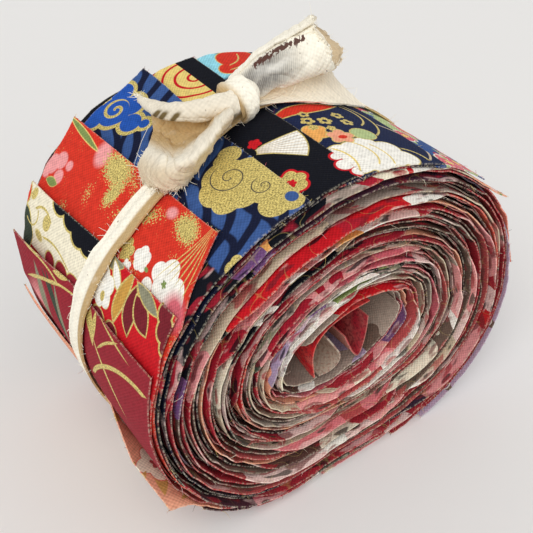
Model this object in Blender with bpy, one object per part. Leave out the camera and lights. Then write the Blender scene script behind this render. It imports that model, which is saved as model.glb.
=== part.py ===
"""Rolled fabric bundle: printed cotton strips wound into one oval roll, tied with a torn strip.

Units are metres and +Z is up. The roll lies on its side, its axis along Y, and the end that shows
the tails in its core faces -Y. The origin is on the floor, at the middle of the object's base.

A place on the roll is named by three numbers: the angle round the axis (0 towards +X, 90 degrees
straight up), the distance along Y and the depth below the outer skin. One function turns these
three into a point, so that the strips, the roll and the tie nest without touching.
"""

from typing import Callable, NamedTuple

import bpy
import numpy as np

MM = 0.001

ROLL_WIDTH = 63.5 * MM
HALF_WIDTH = ROLL_WIDTH / 2
SECTION_RADIUS = 49.83 * MM
# order of the wave round the section, its cosine share, its sine share
SECTION_WAVES = (
    (2, 0.0819, -0.0340),
    (3, 0.0094, -0.0280),
    (4, -0.0179, -0.0157),
    (5, -0.0028, 0.0088),
)
CENTER_HEIGHT = 42.8 * MM
# Moves everything so that the origin is at the middle of the whole object's base.
TO_BASE_MIDDLE = (-1.33 * MM, 0.25 * MM, 0.0)

CORE_CENTER = (-1.4 * MM, 2.2 * MM)
CORE_HALF_LENGTH = 16.4 * MM
CORE_HALF_HEIGHT = 9.4 * MM
CORE_TILT = np.radians(9.0)

FABRIC = 1.0 * MM
CLEARANCE = 0.3 * MM
STEP_DEPTH = FABRIC + CLEARANCE
ROLL_DEPTH = 2 * STEP_DEPTH

TIE_THICKNESS = 1.0 * MM
GROOVE_DEPTH = 0.7 * MM
GROOVE_UNDERNEATH = 1.95 * MM
GROOVE_REACH = 5.5 * MM
# How fast the deeper groove sets in below the roll's middle, and how far below it.
UNDERNEATH_SLOPE = 1.6
UNDERNEATH_START = 0.2

TIE_COLOUR = (0.80, 0.74, 0.62)
ROLL_COLOUR = (0.30, 0.16, 0.15)
CLOTH_ROUGHNESS = 0.85
SHARP_FROM = np.radians(35)

ROLL_STEPS = 60
BAND_STEPS = 60
TURNS = 5
TURN_GROOVE = 0.10

# How far each main turn stands out of the end face, from the core to the rim, in mm.
NEAR_TURNS = (-1.6, 0.9, -0.7, 0.6, 1.5, -0.2)
FAR_TURNS = (-0.9, 0.7, -0.5, 1.0, -0.6, 0.4)
# The part of the way from the core to the rim that the rings of an end face keep to.
FACE_RANGE = (0.03, 0.97)

# angle in degrees, position along Y in mm of the middle of the tie
TIE_PATH = (
    (0, 4.2), (50, 4.6), (75, 6.0), (94, 5.0), (111, 0.2), (128, -1.8), (141, -2.5),
    (154, -1.0), (167, 0.8), (180, 3.2), (225, 3.4), (270, 3.0), (315, 3.6), (360, 4.2),
)
# Lines of points along the roll on both sides of the tie's middle, in mm.
LINES_BESIDE_TIE = (-9.5, -2.8, 2.8, 9.5)

TAIL_THICKNESS = 1.0 * MM
TAIL_COLUMNS = 4
BOW_THICKNESS = 1.2 * MM
KNOT_CENTER_MM = (-5.2, 3.4, 51.1)
KNOT_HALF_MM = (4.0, 6.0, 3.8)
KNOT_SEGMENTS = 14
KNOT_RINGS = 8
KNOT_SQUARENESS = 0.75
TIE_GAP_DEG = 3.0

# angle in degrees, half the tie's width there in mm
TIE_HALF_WIDTH = ((0, 3.0), (60, 3.3), (94, 3.4), (125, 2.5), (180, 2.5), (270, 2.6), (360, 3.0))

# Across the folded loop, from its lower front edge over the fold to its lower back edge:
# towards the viewer and across the loop, in mm.
LOOP_SECTION = (
    (2.1, -3.8), (2.6, -1.2), (2.3, 1.6), (1.2, 3.4), (-0.6, 3.7), (-2.0, 2.2), (-2.5, -0.4), (-2.1, -2.8),
)
FLAT_SECTION = ((0.25, -1.0), (-0.1, -0.35), (-0.1, 0.35), (0.25, 1.0))

# Middle lines of the bow's three free parts: x, y, height above the roll's middle in mm, then how
# wide the section is there towards the viewer and across.
RIGHT_LOOP = (
    (-5.0, 3.0, 51.2, 0.45, 0.55), (0.5, 3.4, 53.0, 0.60, 0.70), (7.0, 4.0, 55.0, 0.80, 0.95),
    (14.0, 4.8, 56.6, 0.95, 1.05), (20.5, 5.6, 57.6, 1.05, 1.10), (26.0, 6.2, 57.8, 1.10, 1.15),
)
UPPER_TAIL = (
    (-5.0, 4.0, 51.6, 1.0, 2.4), (-10.0, 8.5, 52.2, 1.6, 3.4), (-15.0, 13.5, 51.6, 1.6, 3.2),
    (-19.5, 18.0, 50.0, 1.2, 2.2), (-22.5, 21.5, 48.4, 0.5, 0.7),
)
LOWER_TAIL = (
    (-5.2, 2.6, 51.0, 1.0, 2.6), (-11.0, 0.2, 52.4, 2.2, 4.4), (-18.0, -2.2, 51.6, 2.6, 5.0),
    (-24.5, -4.4, 49.0, 2.2, 4.8), (-29.5, -6.0, 46.4, 1.4, 4.4),
)
TOWARDS_VIEWER = (-0.45, -0.63, 0.63)
ALONG_VIEWER_UP = (0.36, 0.52, 0.77)
LOWER_TAIL_ACROSS = (-0.38, 0.77, 0.50)
UPPER_TAIL_ACROSS = (0.30, 0.35, 0.89)

# Tails in the core: x and height above the roll's middle, near edge and far edge along Y, in mm.
RED_TAIL = (
    (4.6, 10.9, -31.3, -14.0), (-1.4, 10.8, -31.3, -14.0), (-7.2, 9.4, -31.4, -15.0),
    (-11.0, 6.4, -31.4, -18.0), (-12.2, 2.4, -31.4, -23.0), (-11.8, -1.0, -31.3, -27.0),
    (-11.2, -3.4, -31.2, -29.6),
)
TAUPE_TAIL = (
    (-8.6, -6.1, -31.0, -20.0), (-5.4, -6.3, -31.0, -20.0), (-3.0, -5.2, -30.9, -20.5),
    (-2.5, -2.8, -30.8, -21.5), (-4.2, 0.6, -30.6, -22.5), (-6.2, 4.0, -30.4, -23.5),
)
PINK_TAIL = (
    (5.3, 5.2, -30.8, -24.0), (5.0, 1.6, -31.0, -22.5), (4.2, -2.4, -31.2, -21.0),
    (2.9, -5.5, -31.3, -20.0), (1.2, -3.8, -31.2, -21.0), (-0.2, -0.6, -31.0, -23.0),
    (-1.4, 2.4, -30.8, -25.0),
)


class StripEnd(NamedTuple):
    """One strip's outer end. The next row's strip covers it from that strip's own cut edge on."""

    name: str
    edge_deg: float
    far_turn_deg: float
    setback_mm: float
    near_lift_mm: float
    far_lift_mm: float
    colour: tuple[float, float, float]


# Rows run anticlockwise seen from -Y. edge_deg is where the cut edge lies, far_turn_deg how much
# further round it lies at the far side than in the middle, setback_mm how far its near corner
# stays behind the end face, and the lifts are how far its corners stand off the roll.
STRIP_ENDS = (
    StripEnd("strip_rose_floral", 238.0, 1.0, 0.0, 0.0, 0.0, (0.48, 0.12, 0.16)),
    StripEnd("strip_pink_tan", 262.7, 1.5, -0.6, 0.0, 0.0, (0.62, 0.14, 0.20)),
    StripEnd("strip_red_floral", 289.6, -1.5, -0.8, 0.0, 0.0, (0.58, 0.05, 0.08)),
    StripEnd("strip_lilac_dusk", 304.5, 2.0, -1.2, 0.8, 0.3, (0.30, 0.20, 0.30)),
    StripEnd("strip_peach_lower", 360.0, 3.0, 2.0, 2.6, 1.0, (0.72, 0.33, 0.24)),
    StripEnd("strip_peach_upper", 381.0, -3.0, 1.5, 2.8, 1.6, (0.74, 0.38, 0.28)),
    StripEnd("strip_pink_rose", 401.0, 1.0, 0.4, 0.5, 0.6, (0.66, 0.22, 0.28)),
    StripEnd("strip_navy_blossom", 419.5, -2.0, -0.4, 0.3, 0.4, (0.03, 0.04, 0.09)),
    StripEnd("strip_black_fan", 451.0, 0.6, 0.2, 0.2, 0.3, (0.02, 0.02, 0.03)),
    StripEnd("strip_navy_cloud", 467.0, 0.2, -0.3, 0.3, 2.4, (0.06, 0.12, 0.28)),
    StripEnd("strip_red_gold", 487.8, 1.4, 7.5, 0.8, 2.6, (0.64, 0.05, 0.03)),
    StripEnd("strip_cream_swirl", 507.0, 1.6, 1.6, 0.4, 1.2, (0.36, 0.31, 0.22)),
    StripEnd("strip_wine_reed", 521.0, 1.2, 0.6, 0.6, 2.2, (0.36, 0.03, 0.06)),
    StripEnd("strip_peach_cream", 552.0, -12.0, -0.8, 4.0, 0.8, (0.76, 0.44, 0.34)),
    StripEnd("strip_plum_floral", 577.0, 1.0, 0.2, 0.5, 0.4, (0.22, 0.06, 0.12)),
)
HIDDEN_DEG = 10.0
RAMP_SHARE = 0.45
RAMP_STOP_DEG = 1.3
# A strip that shows less than this dips over a share of its length, a wider one over a fixed angle.
NARROW_DEG = 20.0
WIDE_RAMP_DEG = 10.0
HIDDEN_MARGIN_DEG = 1.5
MAX_STEP_DEG = 5.5
LIFT_REACH_DEG = 14.0
# A lifted corner lies flat this far from the tie's middle, and has its full lift this much further on.
LIFT_CLEAR = 8 * MM
LIFT_GROWTH = 14 * MM
CORNER_POWER = 4


def section_radius(angle: np.ndarray) -> np.ndarray:
    """Radius of the roll's outer skin: a circle plus four low waves of the angle."""
    waves = sum(c * np.cos(n * angle) + s * np.sin(n * angle) for n, c, s in SECTION_WAVES)
    return SECTION_RADIUS * (1 + waves)


def tie_middle(angle: np.ndarray) -> np.ndarray:
    """Position along Y of the tie's middle, read between the rows of its path."""
    degrees, places = np.array(TIE_PATH, float).T
    return np.interp(np.degrees(angle) % 360, degrees, places * MM)


def groove(angle: np.ndarray, along: np.ndarray) -> np.ndarray:
    """How far the tie presses the cloth in: a bell across the tie, deeper under the roll."""
    underneath = np.clip(-np.sin(angle) * UNDERNEATH_SLOPE - UNDERNEATH_START, 0, 1)
    depth = GROOVE_DEPTH + (GROOVE_UNDERNEATH - GROOVE_DEPTH) * underneath
    return depth * np.exp(-(((along - tie_middle(angle)) / GROOVE_REACH) ** 2))


def on_roll(angle: np.ndarray, along: np.ndarray, depth: np.ndarray) -> np.ndarray:
    """Point at an angle, a place along Y and a depth below the skin, kept above the flat spot."""
    angle, along, depth = np.broadcast_arrays(angle, along, depth)
    radius = section_radius(angle) - depth
    height = np.maximum(radius * np.sin(angle), depth - CENTER_HEIGHT)
    pressed = groove(angle, along)
    x = radius * np.cos(angle) - pressed * np.cos(angle)
    z = height - pressed * np.sin(angle) + CENTER_HEIGHT
    return np.stack([x, along, z], axis=-1)


def core_wall(angle: np.ndarray) -> np.ndarray:
    """X and Z of the core hole's wall: a tilted oval."""
    across = CORE_HALF_LENGTH * np.cos(angle)
    up = CORE_HALF_HEIGHT * np.sin(angle)
    x = CORE_CENTER[0] + across * np.cos(CORE_TILT) - up * np.sin(CORE_TILT)
    z = CORE_CENTER[1] + across * np.sin(CORE_TILT) + up * np.cos(CORE_TILT) + CENTER_HEIGHT
    return np.stack([x, z], axis=-1)


def columns(angle: np.ndarray) -> np.ndarray:
    """Places along Y, one row per angle: both ends, and closer together beside the tie."""
    middle = tie_middle(np.atleast_1d(angle))[:, None]
    beside = middle + np.array(LINES_BESIDE_TIE) * MM
    near = np.full_like(middle, -HALF_WIDTH)
    far = np.full_like(middle, HALF_WIDTH)
    return np.hstack([near, (near + beside[:, :1]) / 2, beside, (far + beside[:, 3:]) / 2, far])


def make_object(name: str, points: np.ndarray, faces: list[tuple], colour: tuple) -> bpy.types.Object:
    """A mesh object with its own matt cloth material."""
    mesh = bpy.data.meshes.new(name)
    mesh.from_pydata((points + TO_BASE_MIDDLE).tolist(), [], faces)
    mesh.validate()
    mesh.update()
    material = bpy.data.materials.new(name + "_cloth")
    material.use_nodes = True
    shader = material.node_tree.nodes["Principled BSDF"]
    shader.inputs["Base Color"].default_value = (*colour, 1.0)
    shader.inputs["Roughness"].default_value = CLOTH_ROUGHNESS
    shader.inputs["Metallic"].default_value = 0.0
    mesh.materials.append(material)
    mesh.shade_smooth()
    mesh.set_sharp_from_angle(angle=SHARP_FROM)
    shape = bpy.data.objects.new(name, mesh)
    bpy.context.scene.collection.objects.link(shape)
    return shape


def two_triangles(a: int, b: int, c: int, d: int) -> list[tuple[int, int, int]]:
    """The quad a b c d as triangles, leaving out one whose corners coincide."""
    halves = [(a, b, c), (a, c, d)]
    return [half for half in halves if len(set(half)) == 3]


def sheet_faces(rows: int, cols: int) -> list[tuple[int, int, int]]:
    """Faces of a closed sheet whose front points come first, row by row, then its back points."""
    back = rows * cols
    faces = []
    for i in range(rows - 1):
        for j in range(cols - 1):
            a, b, c, d = i * cols + j, i * cols + j + 1, (i + 1) * cols + j + 1, (i + 1) * cols + j
            faces += two_triangles(a, b, c, d)
            faces += two_triangles(back + a, back + d, back + c, back + b)
    border = [j for j in range(cols)]
    border += [i * cols + cols - 1 for i in range(1, rows)]
    border += [(rows - 1) * cols + j for j in range(cols - 2, -1, -1)]
    border += [i * cols for i in range(rows - 2, 0, -1)]
    for here, after in zip(border, border[1:] + border[:1]):
        faces += two_triangles(here, back + here, back + after, after)
    return faces


def angle_stations(ramp: float, stop: float, hidden: float) -> np.ndarray:
    """Degrees from a strip's cut edge: the flat run, the dip to the cover's edge, the hidden end."""
    flat = np.linspace(0, ramp, max(2, int(np.ceil(ramp / MAX_STEP_DEG)) + 1))
    return np.concatenate([flat, [stop, (stop + hidden) / 2, hidden]])


def ramp_offset(visible: float) -> float:
    """Degrees from a strip's cut edge to where it starts to dip under the strip that covers it."""
    return RAMP_SHARE * visible if visible < NARROW_DEG else visible - WIDE_RAMP_DEG


def hidden_offset(row: StripEnd, cover: StripEnd, visible: float) -> float:
    """Degrees that a strip may run on under its cover before the cover dips, `row` being the cover."""
    ramp = ramp_offset(visible)
    askew = ramp / visible * abs(cover.far_turn_deg - row.far_turn_deg)
    return min(HIDDEN_DEG, ramp - askew - HIDDEN_MARGIN_DEG)


def build_strip(row: StripEnd, cover: StripEnd, visible: float, hidden: float) -> bpy.types.Object:
    """One outer strip end, cloth thick, its cut edge on top of the strip before it."""
    ramp = ramp_offset(visible)
    stop = visible - RAMP_STOP_DEG
    hidden = visible + hidden
    offset = angle_stations(ramp, stop, hidden)
    place = columns(np.radians(row.edge_deg + offset))
    side = place / HALF_WIDTH
    share = (offset / visible)[:, None]
    edge_turn = row.far_turn_deg * side * np.clip(1 - share, 0, 1)
    cover_turn = cover.far_turn_deg * side * np.clip(share, 0, 1)
    angle = np.radians(row.edge_deg + offset[:, None] + edge_turn + cover_turn)
    near_share = np.clip(-side, 0, 1) ** CORNER_POWER
    place = place + row.setback_mm * MM * near_share * np.clip(1 - share, 0, 1)
    reach = np.clip(1 - offset / LIFT_REACH_DEG, 0, 1)[:, None] ** 2
    clear = np.clip((np.abs(place - tie_middle(angle)) - LIFT_CLEAR) / LIFT_GROWTH, 0, 1)
    lift = np.where(side < 0, row.near_lift_mm, row.far_lift_mm) * MM * reach * clear
    depth = STEP_DEPTH * np.clip((offset - ramp) / (stop - ramp), 0, 1)[:, None] - lift
    outer = on_roll(angle, place, depth)
    inner = on_roll(angle, place, depth + FABRIC)
    points = np.concatenate([outer.reshape(-1, 3), inner.reshape(-1, 3)])
    return make_object(row.name, points, sheet_faces(*place.shape), row.colour)


def build_strips() -> None:
    """All outer strip ends, each covered by the next, the last one covered by the first."""
    edges = np.array([row.edge_deg for row in STRIP_ENDS])
    visible = np.roll(edges, -1) - edges
    visible[-1] += 360
    for k, row in enumerate(STRIP_ENDS):
        after = (k + 1) % len(STRIP_ENDS)
        beyond = (k + 2) % len(STRIP_ENDS)
        cover = STRIP_ENDS[after]
        hidden = hidden_offset(cover, STRIP_ENDS[beyond], visible[after])
        build_strip(row, cover, visible[k], hidden)


def face_rings(heights_mm: tuple[float, ...]) -> list[tuple[float, float, float]]:
    """Rings of an end face: its turn, and how far it stands out at its start and at its end."""
    rings = []
    for turn in range(1, TURNS):
        before, here, after = heights_mm[turn - 1 : turn + 2]
        rings.append((turn - TURN_GROOVE, before * MM, here * MM))
        rings.append((turn + TURN_GROOVE, here * MM, after * MM))
    return rings


def thick_sheet(name: str, middle: np.ndarray, thickness: float, colour: tuple) -> bpy.types.Object:
    """A closed sheet round a grid of points: each point moves both ways along its normal."""
    across = np.gradient(middle, axis=1)
    along = np.gradient(middle, axis=0)
    normal = np.cross(across, along)
    normal /= np.linalg.norm(normal, axis=2, keepdims=True)
    front = middle + normal * thickness / 2
    back = middle - normal * thickness / 2
    points = np.concatenate([front.reshape(-1, 3), back.reshape(-1, 3)])
    return make_object(name, points, sheet_faces(*middle.shape[:2]), colour)


def build_tail(name: str, table: tuple, colour: tuple) -> None:
    """A strip's inner end: a line across the core's section, spread along Y between two edges."""
    x, z, near, far = (np.array(table) * MM).T
    along = near[:, None] + (far - near)[:, None] * np.linspace(0, 1, TAIL_COLUMNS)
    x, z = (np.broadcast_to(line[:, None], along.shape) for line in (x, z + CENTER_HEIGHT))
    middle = np.stack([x, along, z], axis=-1)
    thick_sheet(name, middle, TAIL_THICKNESS, colour)


def swept(table: tuple, section: tuple, normal: tuple, across: tuple) -> np.ndarray:
    """Grid of points: a section, scaled at each station, carried along the stations' line."""
    rows = np.array(table)
    line = rows[:, :3] * MM + np.array([0, 0, CENTER_HEIGHT])
    heading = np.gradient(line, axis=0)
    heading /= np.linalg.norm(heading, axis=1, keepdims=True)
    side = np.array(across) - heading * (heading @ np.array(across))[:, None]
    side /= np.linalg.norm(side, axis=1, keepdims=True)
    out = np.cross(heading, side)
    out *= np.sign(out @ np.array(normal))[:, None]
    profile = np.array(section) * MM
    return (
        line[:, None]
        + out[:, None] * (rows[:, 3, None] * profile[:, 0])[..., None]
        + side[:, None] * (rows[:, 4, None] * profile[:, 1])[..., None]
    )


def build_knot() -> bpy.types.Object:
    """The knot: a squared ellipsoid, closed at both ends by a single point."""
    rise = np.linspace(-np.pi / 2, np.pi / 2, KNOT_RINGS + 1)[1:-1, None]
    turn = np.linspace(0, 2 * np.pi, KNOT_SEGMENTS, endpoint=False)[None, :]

    def square(value: np.ndarray) -> np.ndarray:
        """The value with its size raised to a power under one."""
        return np.sign(value) * np.abs(value) ** KNOT_SQUARENESS

    unit = np.stack(
        [
            square(np.cos(rise)) * square(np.cos(turn)),
            square(np.cos(rise)) * square(np.sin(turn)),
            square(np.sin(rise)) * np.ones_like(turn),
        ],
        axis=-1,
    ).reshape(-1, 3)
    unit = np.concatenate([unit, [[0, 0, -1], [0, 0, 1]]])
    points = (unit * KNOT_HALF_MM + KNOT_CENTER_MM) * MM + np.array([0, 0, CENTER_HEIGHT])
    low, high = len(points) - 2, len(points) - 1
    faces = []
    for j in range(KNOT_SEGMENTS):
        after = (j + 1) % KNOT_SEGMENTS
        faces.append((low, after, j))
        for i in range(KNOT_RINGS - 2):
            row = i * KNOT_SEGMENTS
            above = row + KNOT_SEGMENTS
            faces += two_triangles(row + j, row + after, above + after, above + j)
        last = (KNOT_RINGS - 2) * KNOT_SEGMENTS
        faces.append((last + j, last + after, high))
    return make_object("knot", points, faces, TIE_COLOUR)


def build_tie() -> None:
    """The torn strip: its band round the roll, the knot, one folded loop and two free tails."""
    start = np.degrees(np.arctan2(KNOT_CENTER_MM[2], KNOT_CENTER_MM[0]))
    degrees = start + np.linspace(TIE_GAP_DEG / 2, 360 - TIE_GAP_DEG / 2, BAND_STEPS)
    angle = np.radians(degrees)[:, None]
    stations, widths = np.array(TIE_HALF_WIDTH, float).T
    half = np.interp(degrees % 360, stations, widths * MM)[:, None]
    place = tie_middle(angle) + half * np.array([-1.0, 1.0])
    outer = on_roll(angle, place, -CLEARANCE - TIE_THICKNESS)
    inner = on_roll(angle, place, -CLEARANCE)
    points = np.concatenate([outer.reshape(-1, 3), inner.reshape(-1, 3)])
    tie = make_object("tie", points, sheet_faces(BAND_STEPS, 2), TIE_COLOUR)
    loop = swept(RIGHT_LOOP, LOOP_SECTION, TOWARDS_VIEWER, ALONG_VIEWER_UP)
    upper = swept(UPPER_TAIL, FLAT_SECTION, TOWARDS_VIEWER, UPPER_TAIL_ACROSS)
    lower = swept(LOWER_TAIL, FLAT_SECTION, TOWARDS_VIEWER, LOWER_TAIL_ACROSS)
    pieces = [
        build_knot(),
        thick_sheet("tie_loop", loop, BOW_THICKNESS, TIE_COLOUR),
        thick_sheet("tie_upper_tail", upper, BOW_THICKNESS, TIE_COLOUR),
        thick_sheet("tie_lower_tail", lower, BOW_THICKNESS, TIE_COLOUR),
    ]
    for piece in pieces:
        piece.hide_render = True
        piece.display_type = "WIRE"
        union = tie.modifiers.new("join_" + piece.name, "BOOLEAN")
        union.operation = "UNION"
        union.solver = "EXACT"
        union.object = piece


def build_roll() -> None:
    """The wound body: an oval tube whose end faces rise and fall in one spiral of main turns."""
    steps = np.arange(ROLL_STEPS)
    angle = 2 * np.pi * steps / ROLL_STEPS
    wall = core_wall(angle)
    place = columns(angle)
    points: list[np.ndarray] = []

    def add(ring: np.ndarray) -> int:
        """Keeps a ring of points and returns the number of its first one."""
        points.append(ring)
        return (len(points) - 1) * ROLL_STEPS

    def face_ring(turn: float, start: float, end: float, side: float) -> np.ndarray:
        """One spiral ring: it drifts one turn outwards as the angle goes once round."""
        once = steps / ROLL_STEPS
        share = np.clip((turn - 1 + once) / (TURNS - 1), *FACE_RANGE)[:, None]
        rim = on_roll(angle, side * HALF_WIDTH, ROLL_DEPTH)[:, [0, 2]]
        section = wall * (1 - share) + rim * share
        out = side * (HALF_WIDTH + start + (end - start) * once)
        return np.stack([section[:, 0], out, section[:, 1]], axis=-1)

    def hole_ring(side: float, height: float) -> np.ndarray:
        """The core's edge at one end."""
        return np.stack([wall[:, 0], np.full(ROLL_STEPS, side * (HALF_WIDTH + height)), wall[:, 1]], axis=-1)

    def join(first: Callable[[int], int], second: Callable[[int], int]) -> list[tuple]:
        """Faces between two lines of points, each given by the number of its point at a step."""
        faces = []
        for j in range(ROLL_STEPS):
            faces += two_triangles(first(j), first(j + 1), second(j + 1), second(j))
        return faces

    def closed(start: int) -> Callable[[int], int]:
        """A ring that ends where it starts."""
        return lambda j: start + j % ROLL_STEPS

    def spiral(start: int, following: int) -> Callable[[int], int]:
        """A ring that ends at the first point of the following one."""
        return lambda j: start + j if j < ROLL_STEPS else following

    faces: list[tuple] = []
    rims = []
    holes = []
    for side, heights in ((-1.0, NEAR_TURNS), (1.0, FAR_TURNS)):
        hole = add(hole_ring(side, heights[0] * MM))
        rings = [add(face_ring(*ring, side)) for ring in face_rings(heights)]
        rim = on_roll(angle, side * HALF_WIDTH, ROLL_DEPTH)
        rim[:, 1] = side * (HALF_WIDTH + heights[TURNS] * MM)
        edge = add(rim)
        # A spiral ring's last point is the first point of the ring one turn further out.
        following = rings[2:] + [edge, edge]
        lines = [closed(hole)]
        lines += [spiral(start, after) for start, after in zip(rings, following)]
        lines += [closed(edge)]
        patch = []
        for inner, outer in zip(lines, lines[1:]):
            patch += join(inner, outer)
        patch += [(hole, rings[0], rings[1]), (hole, rings[1], rings[2])]
        faces += patch if side > 0 else [face[::-1] for face in patch]
        rims.append(edge)
        holes.append(hole)
    skins = [rims[0]]
    for column in range(1, place.shape[1] - 1):
        skins.append(add(on_roll(angle, place[:, column], ROLL_DEPTH)))
    skins.append(rims[1])
    for near, far in zip(skins, skins[1:]):
        faces += join(closed(far), closed(near))
    faces += join(closed(holes[0]), closed(holes[1]))
    make_object("roll", np.concatenate(points), faces, ROLL_COLOUR)


def main() -> None:
    """Clears the scene, then builds the roll, the strip ends, the core tails and the tie."""
    for old in list(bpy.data.objects):
        bpy.data.objects.remove(old, do_unlink=True)
    build_roll()
    build_strips()
    build_tail("core_tail_red", RED_TAIL, (0.60, 0.03, 0.04))
    build_tail("core_tail_taupe", TAUPE_TAIL, (0.32, 0.26, 0.23))
    build_tail("core_tail_pink", PINK_TAIL, (0.56, 0.16, 0.18))
    build_tie()


main()
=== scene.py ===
"""Dressed model of a roll of printed cotton strips, tied round with a torn strip of cream cotton.

The classes work in millimetres with the roll's axis along Y; `make_mesh` moves every point to the
frame of the solids and turns it into metres. A place on the roll is an angle round the axis in
degrees (0 towards +X, 90 straight up), a distance along Y and a layer counted from the skin inwards.
"""

import logging
from dataclasses import dataclass, field
from enum import Enum
from typing import Callable, Iterable, NamedTuple, Protocol

import bpy
import numpy as np
from mathutils import Matrix

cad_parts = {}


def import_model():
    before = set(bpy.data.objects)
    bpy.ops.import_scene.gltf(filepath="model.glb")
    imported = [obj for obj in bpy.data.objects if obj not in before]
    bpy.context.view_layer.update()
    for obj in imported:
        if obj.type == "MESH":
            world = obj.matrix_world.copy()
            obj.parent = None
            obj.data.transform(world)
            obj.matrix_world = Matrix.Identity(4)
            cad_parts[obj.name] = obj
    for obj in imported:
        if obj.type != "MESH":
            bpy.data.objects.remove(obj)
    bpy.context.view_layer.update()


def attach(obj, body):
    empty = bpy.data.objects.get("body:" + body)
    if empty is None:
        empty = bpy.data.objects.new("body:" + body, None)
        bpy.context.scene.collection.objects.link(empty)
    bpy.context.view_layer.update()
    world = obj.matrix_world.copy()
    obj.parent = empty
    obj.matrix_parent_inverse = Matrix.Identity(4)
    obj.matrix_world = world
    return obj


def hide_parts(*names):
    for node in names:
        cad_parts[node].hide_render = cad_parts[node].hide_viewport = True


LOG = logging.getLogger("strip_roll")
MM = 0.001
SHARP_FROM = np.radians(50)
SEED = 7
# height of the woven threads that the bump draws, in mm
WEAVE_HEIGHT = 0.12
# most colours that one ramp holds beside its first
RAMP_STOPS = 31

Array = np.ndarray
Rng = np.random.Generator
Pair = tuple[float, float]
Triple = tuple[float, float, float]
Colour = Triple
Socket = bpy.types.NodeSocket
Material = bpy.types.Material
Piece = bpy.types.Object


# ---------------------------------------------------------------- meshes


def unit(vectors: Array) -> Array:
    """Each vector divided by its own length."""
    return vectors / np.maximum(np.linalg.norm(vectors, axis=-1, keepdims=True), 1e-9)


def smooth(share: Array) -> Array:
    """The cubic 3t^2 - 2t^3 of a share held between 0 and 1."""
    share = np.clip(share, 0, 1)
    return share * share * (3 - 2 * share)


def grid_normals(points: Array) -> Array:
    """Unit normals of a grid: the cross product of its column and row directions."""
    return unit(np.cross(np.gradient(points, axis=1), np.gradient(points, axis=0)))


def triples(text: str) -> tuple[Triple, ...]:
    """Groups of three numbers, the groups written between commas."""
    return tuple(tuple(float(number) for number in group.split()) for group in text.split(","))


def through(table: tuple, count: int) -> Array:
    """Rows of a table carried on a smooth line.

    A natural-looking Catmull-Rom spline passes through the rows, its parameter the row number.

    Args:
        table: rows of numbers.
        count: how many rows to return, evenly spaced in row number.

    Returns:
        Array of count rows.
    """
    rows = np.array(table, float)
    padded = np.vstack([2 * rows[0] - rows[1], rows, 2 * rows[-1] - rows[-2]])
    at = np.linspace(0, len(rows) - 1, count)
    cell = np.minimum(at.astype(int), len(rows) - 2)
    t = (at - cell)[:, None]
    a, b, c, d = (padded[cell + k] for k in range(4))
    square = (2 * a - 5 * b + 4 * c - d) * t**2
    return 0.5 * (2 * b + (c - a) * t + square + (3 * b - a - 3 * c + d) * t**3)


def patch(table: tuple[str, ...], rows: int, cols: int) -> Array:
    """A grid of places carried on a smooth surface: the spline of `through` along both directions."""
    places = np.array([triples(row) for row in table])
    down = through(places.reshape(len(places), -1), rows).reshape(rows, -1, 3)
    lines = down.transpose(1, 0, 2).reshape(places.shape[1], -1)
    return through(lines, cols).reshape(cols, rows, 3).transpose(1, 0, 2)


def wrinkled(points: Array, depth: float, periods: Pair, rng: Rng) -> Array:
    """A grid moved along its normals by two crossing smooth noises of row and column numbers."""
    rows, cols = points.shape[:2]
    i, j = np.meshgrid(np.arange(rows), np.arange(cols), indexing="ij")
    first = drift((i + 0.4 * j).ravel(), periods[0], rng).reshape(rows, cols)
    second = drift((j - 0.3 * i + 2 * first).ravel(), periods[1], rng).reshape(rows, cols)
    return points + grid_normals(points) * (depth * (0.5 * first + second))[..., None]


def creased(
    points: Array,
    count: int,
    depth: float,
    rng: Rng,
    aim_deg: float = 0.0,
    width: float = 0.42,
) -> Array:
    """A grid raised and pressed along short crisp creases.

    Each crease lies along a random, slightly bent line of the flat cloth; the height falls off as
    exp(-distance / width) across it and fades out at its ends.

    Args:
        points: rows by columns by 3.
        count: how many creases.
        depth: greatest height in mm.
        rng: the random numbers.
        aim_deg: the creases' usual direction, 0 along the rows' path and 90 across it.
        width: the distance in mm at which a crease has fallen to a third.

    Returns:
        The moved grid.
    """
    u, v = np.moveaxis(flat_lengths(points), -1, 0)
    height = np.zeros(u.shape)
    for _ in range(count):
        row, col = rng.integers(0, u.shape[0]), rng.integers(0, u.shape[1])
        angle = np.radians(aim_deg) + rng.normal(0, 0.42)
        du, dv = u - u[row, col], v - v[row, col]
        along = du * np.cos(angle) + dv * np.sin(angle)
        bend = rng.uniform(-0.06, 0.06) * along**2
        away = np.abs(dv * np.cos(angle) - du * np.sin(angle) + bend)
        fade = np.exp(-((along / rng.uniform(2.0, 7.5)) ** 4))
        height += rng.choice([-1.0, 0.8]) * rng.uniform(0.35, 1.0) * fade * np.exp(-away / width)
    return points + grid_normals(points) * (depth * np.clip(height, -1.2, 1.2))[..., None]


def torn_end(points: Array, rows: int, depth: float, rng: Rng) -> Array:
    """A grid whose last rows are drawn out or back unevenly, most at the very edge."""
    way = unit(points[-1] - points[-3])
    uneven = drift(np.arange(points.shape[1]), 5, rng) + 0.6 * rng.uniform(-1, 1, points.shape[1])
    share = (np.arange(1, rows + 1) / rows)[:, None, None] ** 2
    moved = points.copy()
    moved[-rows:] += way * (depth * uneven)[:, None] * share
    return moved


def drift(at: Array, period: float, rng: Rng) -> Array:
    """Smooth noise of one variable: random values a period apart, joined by the cubic."""
    at = np.asarray(at, float) / period
    low = int(np.floor(at.min()))
    values = rng.uniform(-1, 1, int(np.ceil(at.max())) - low + 2)
    cell = np.floor(at).astype(int) - low
    share = smooth(at - np.floor(at))
    return values[cell] * (1 - share) + values[cell + 1] * share


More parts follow.
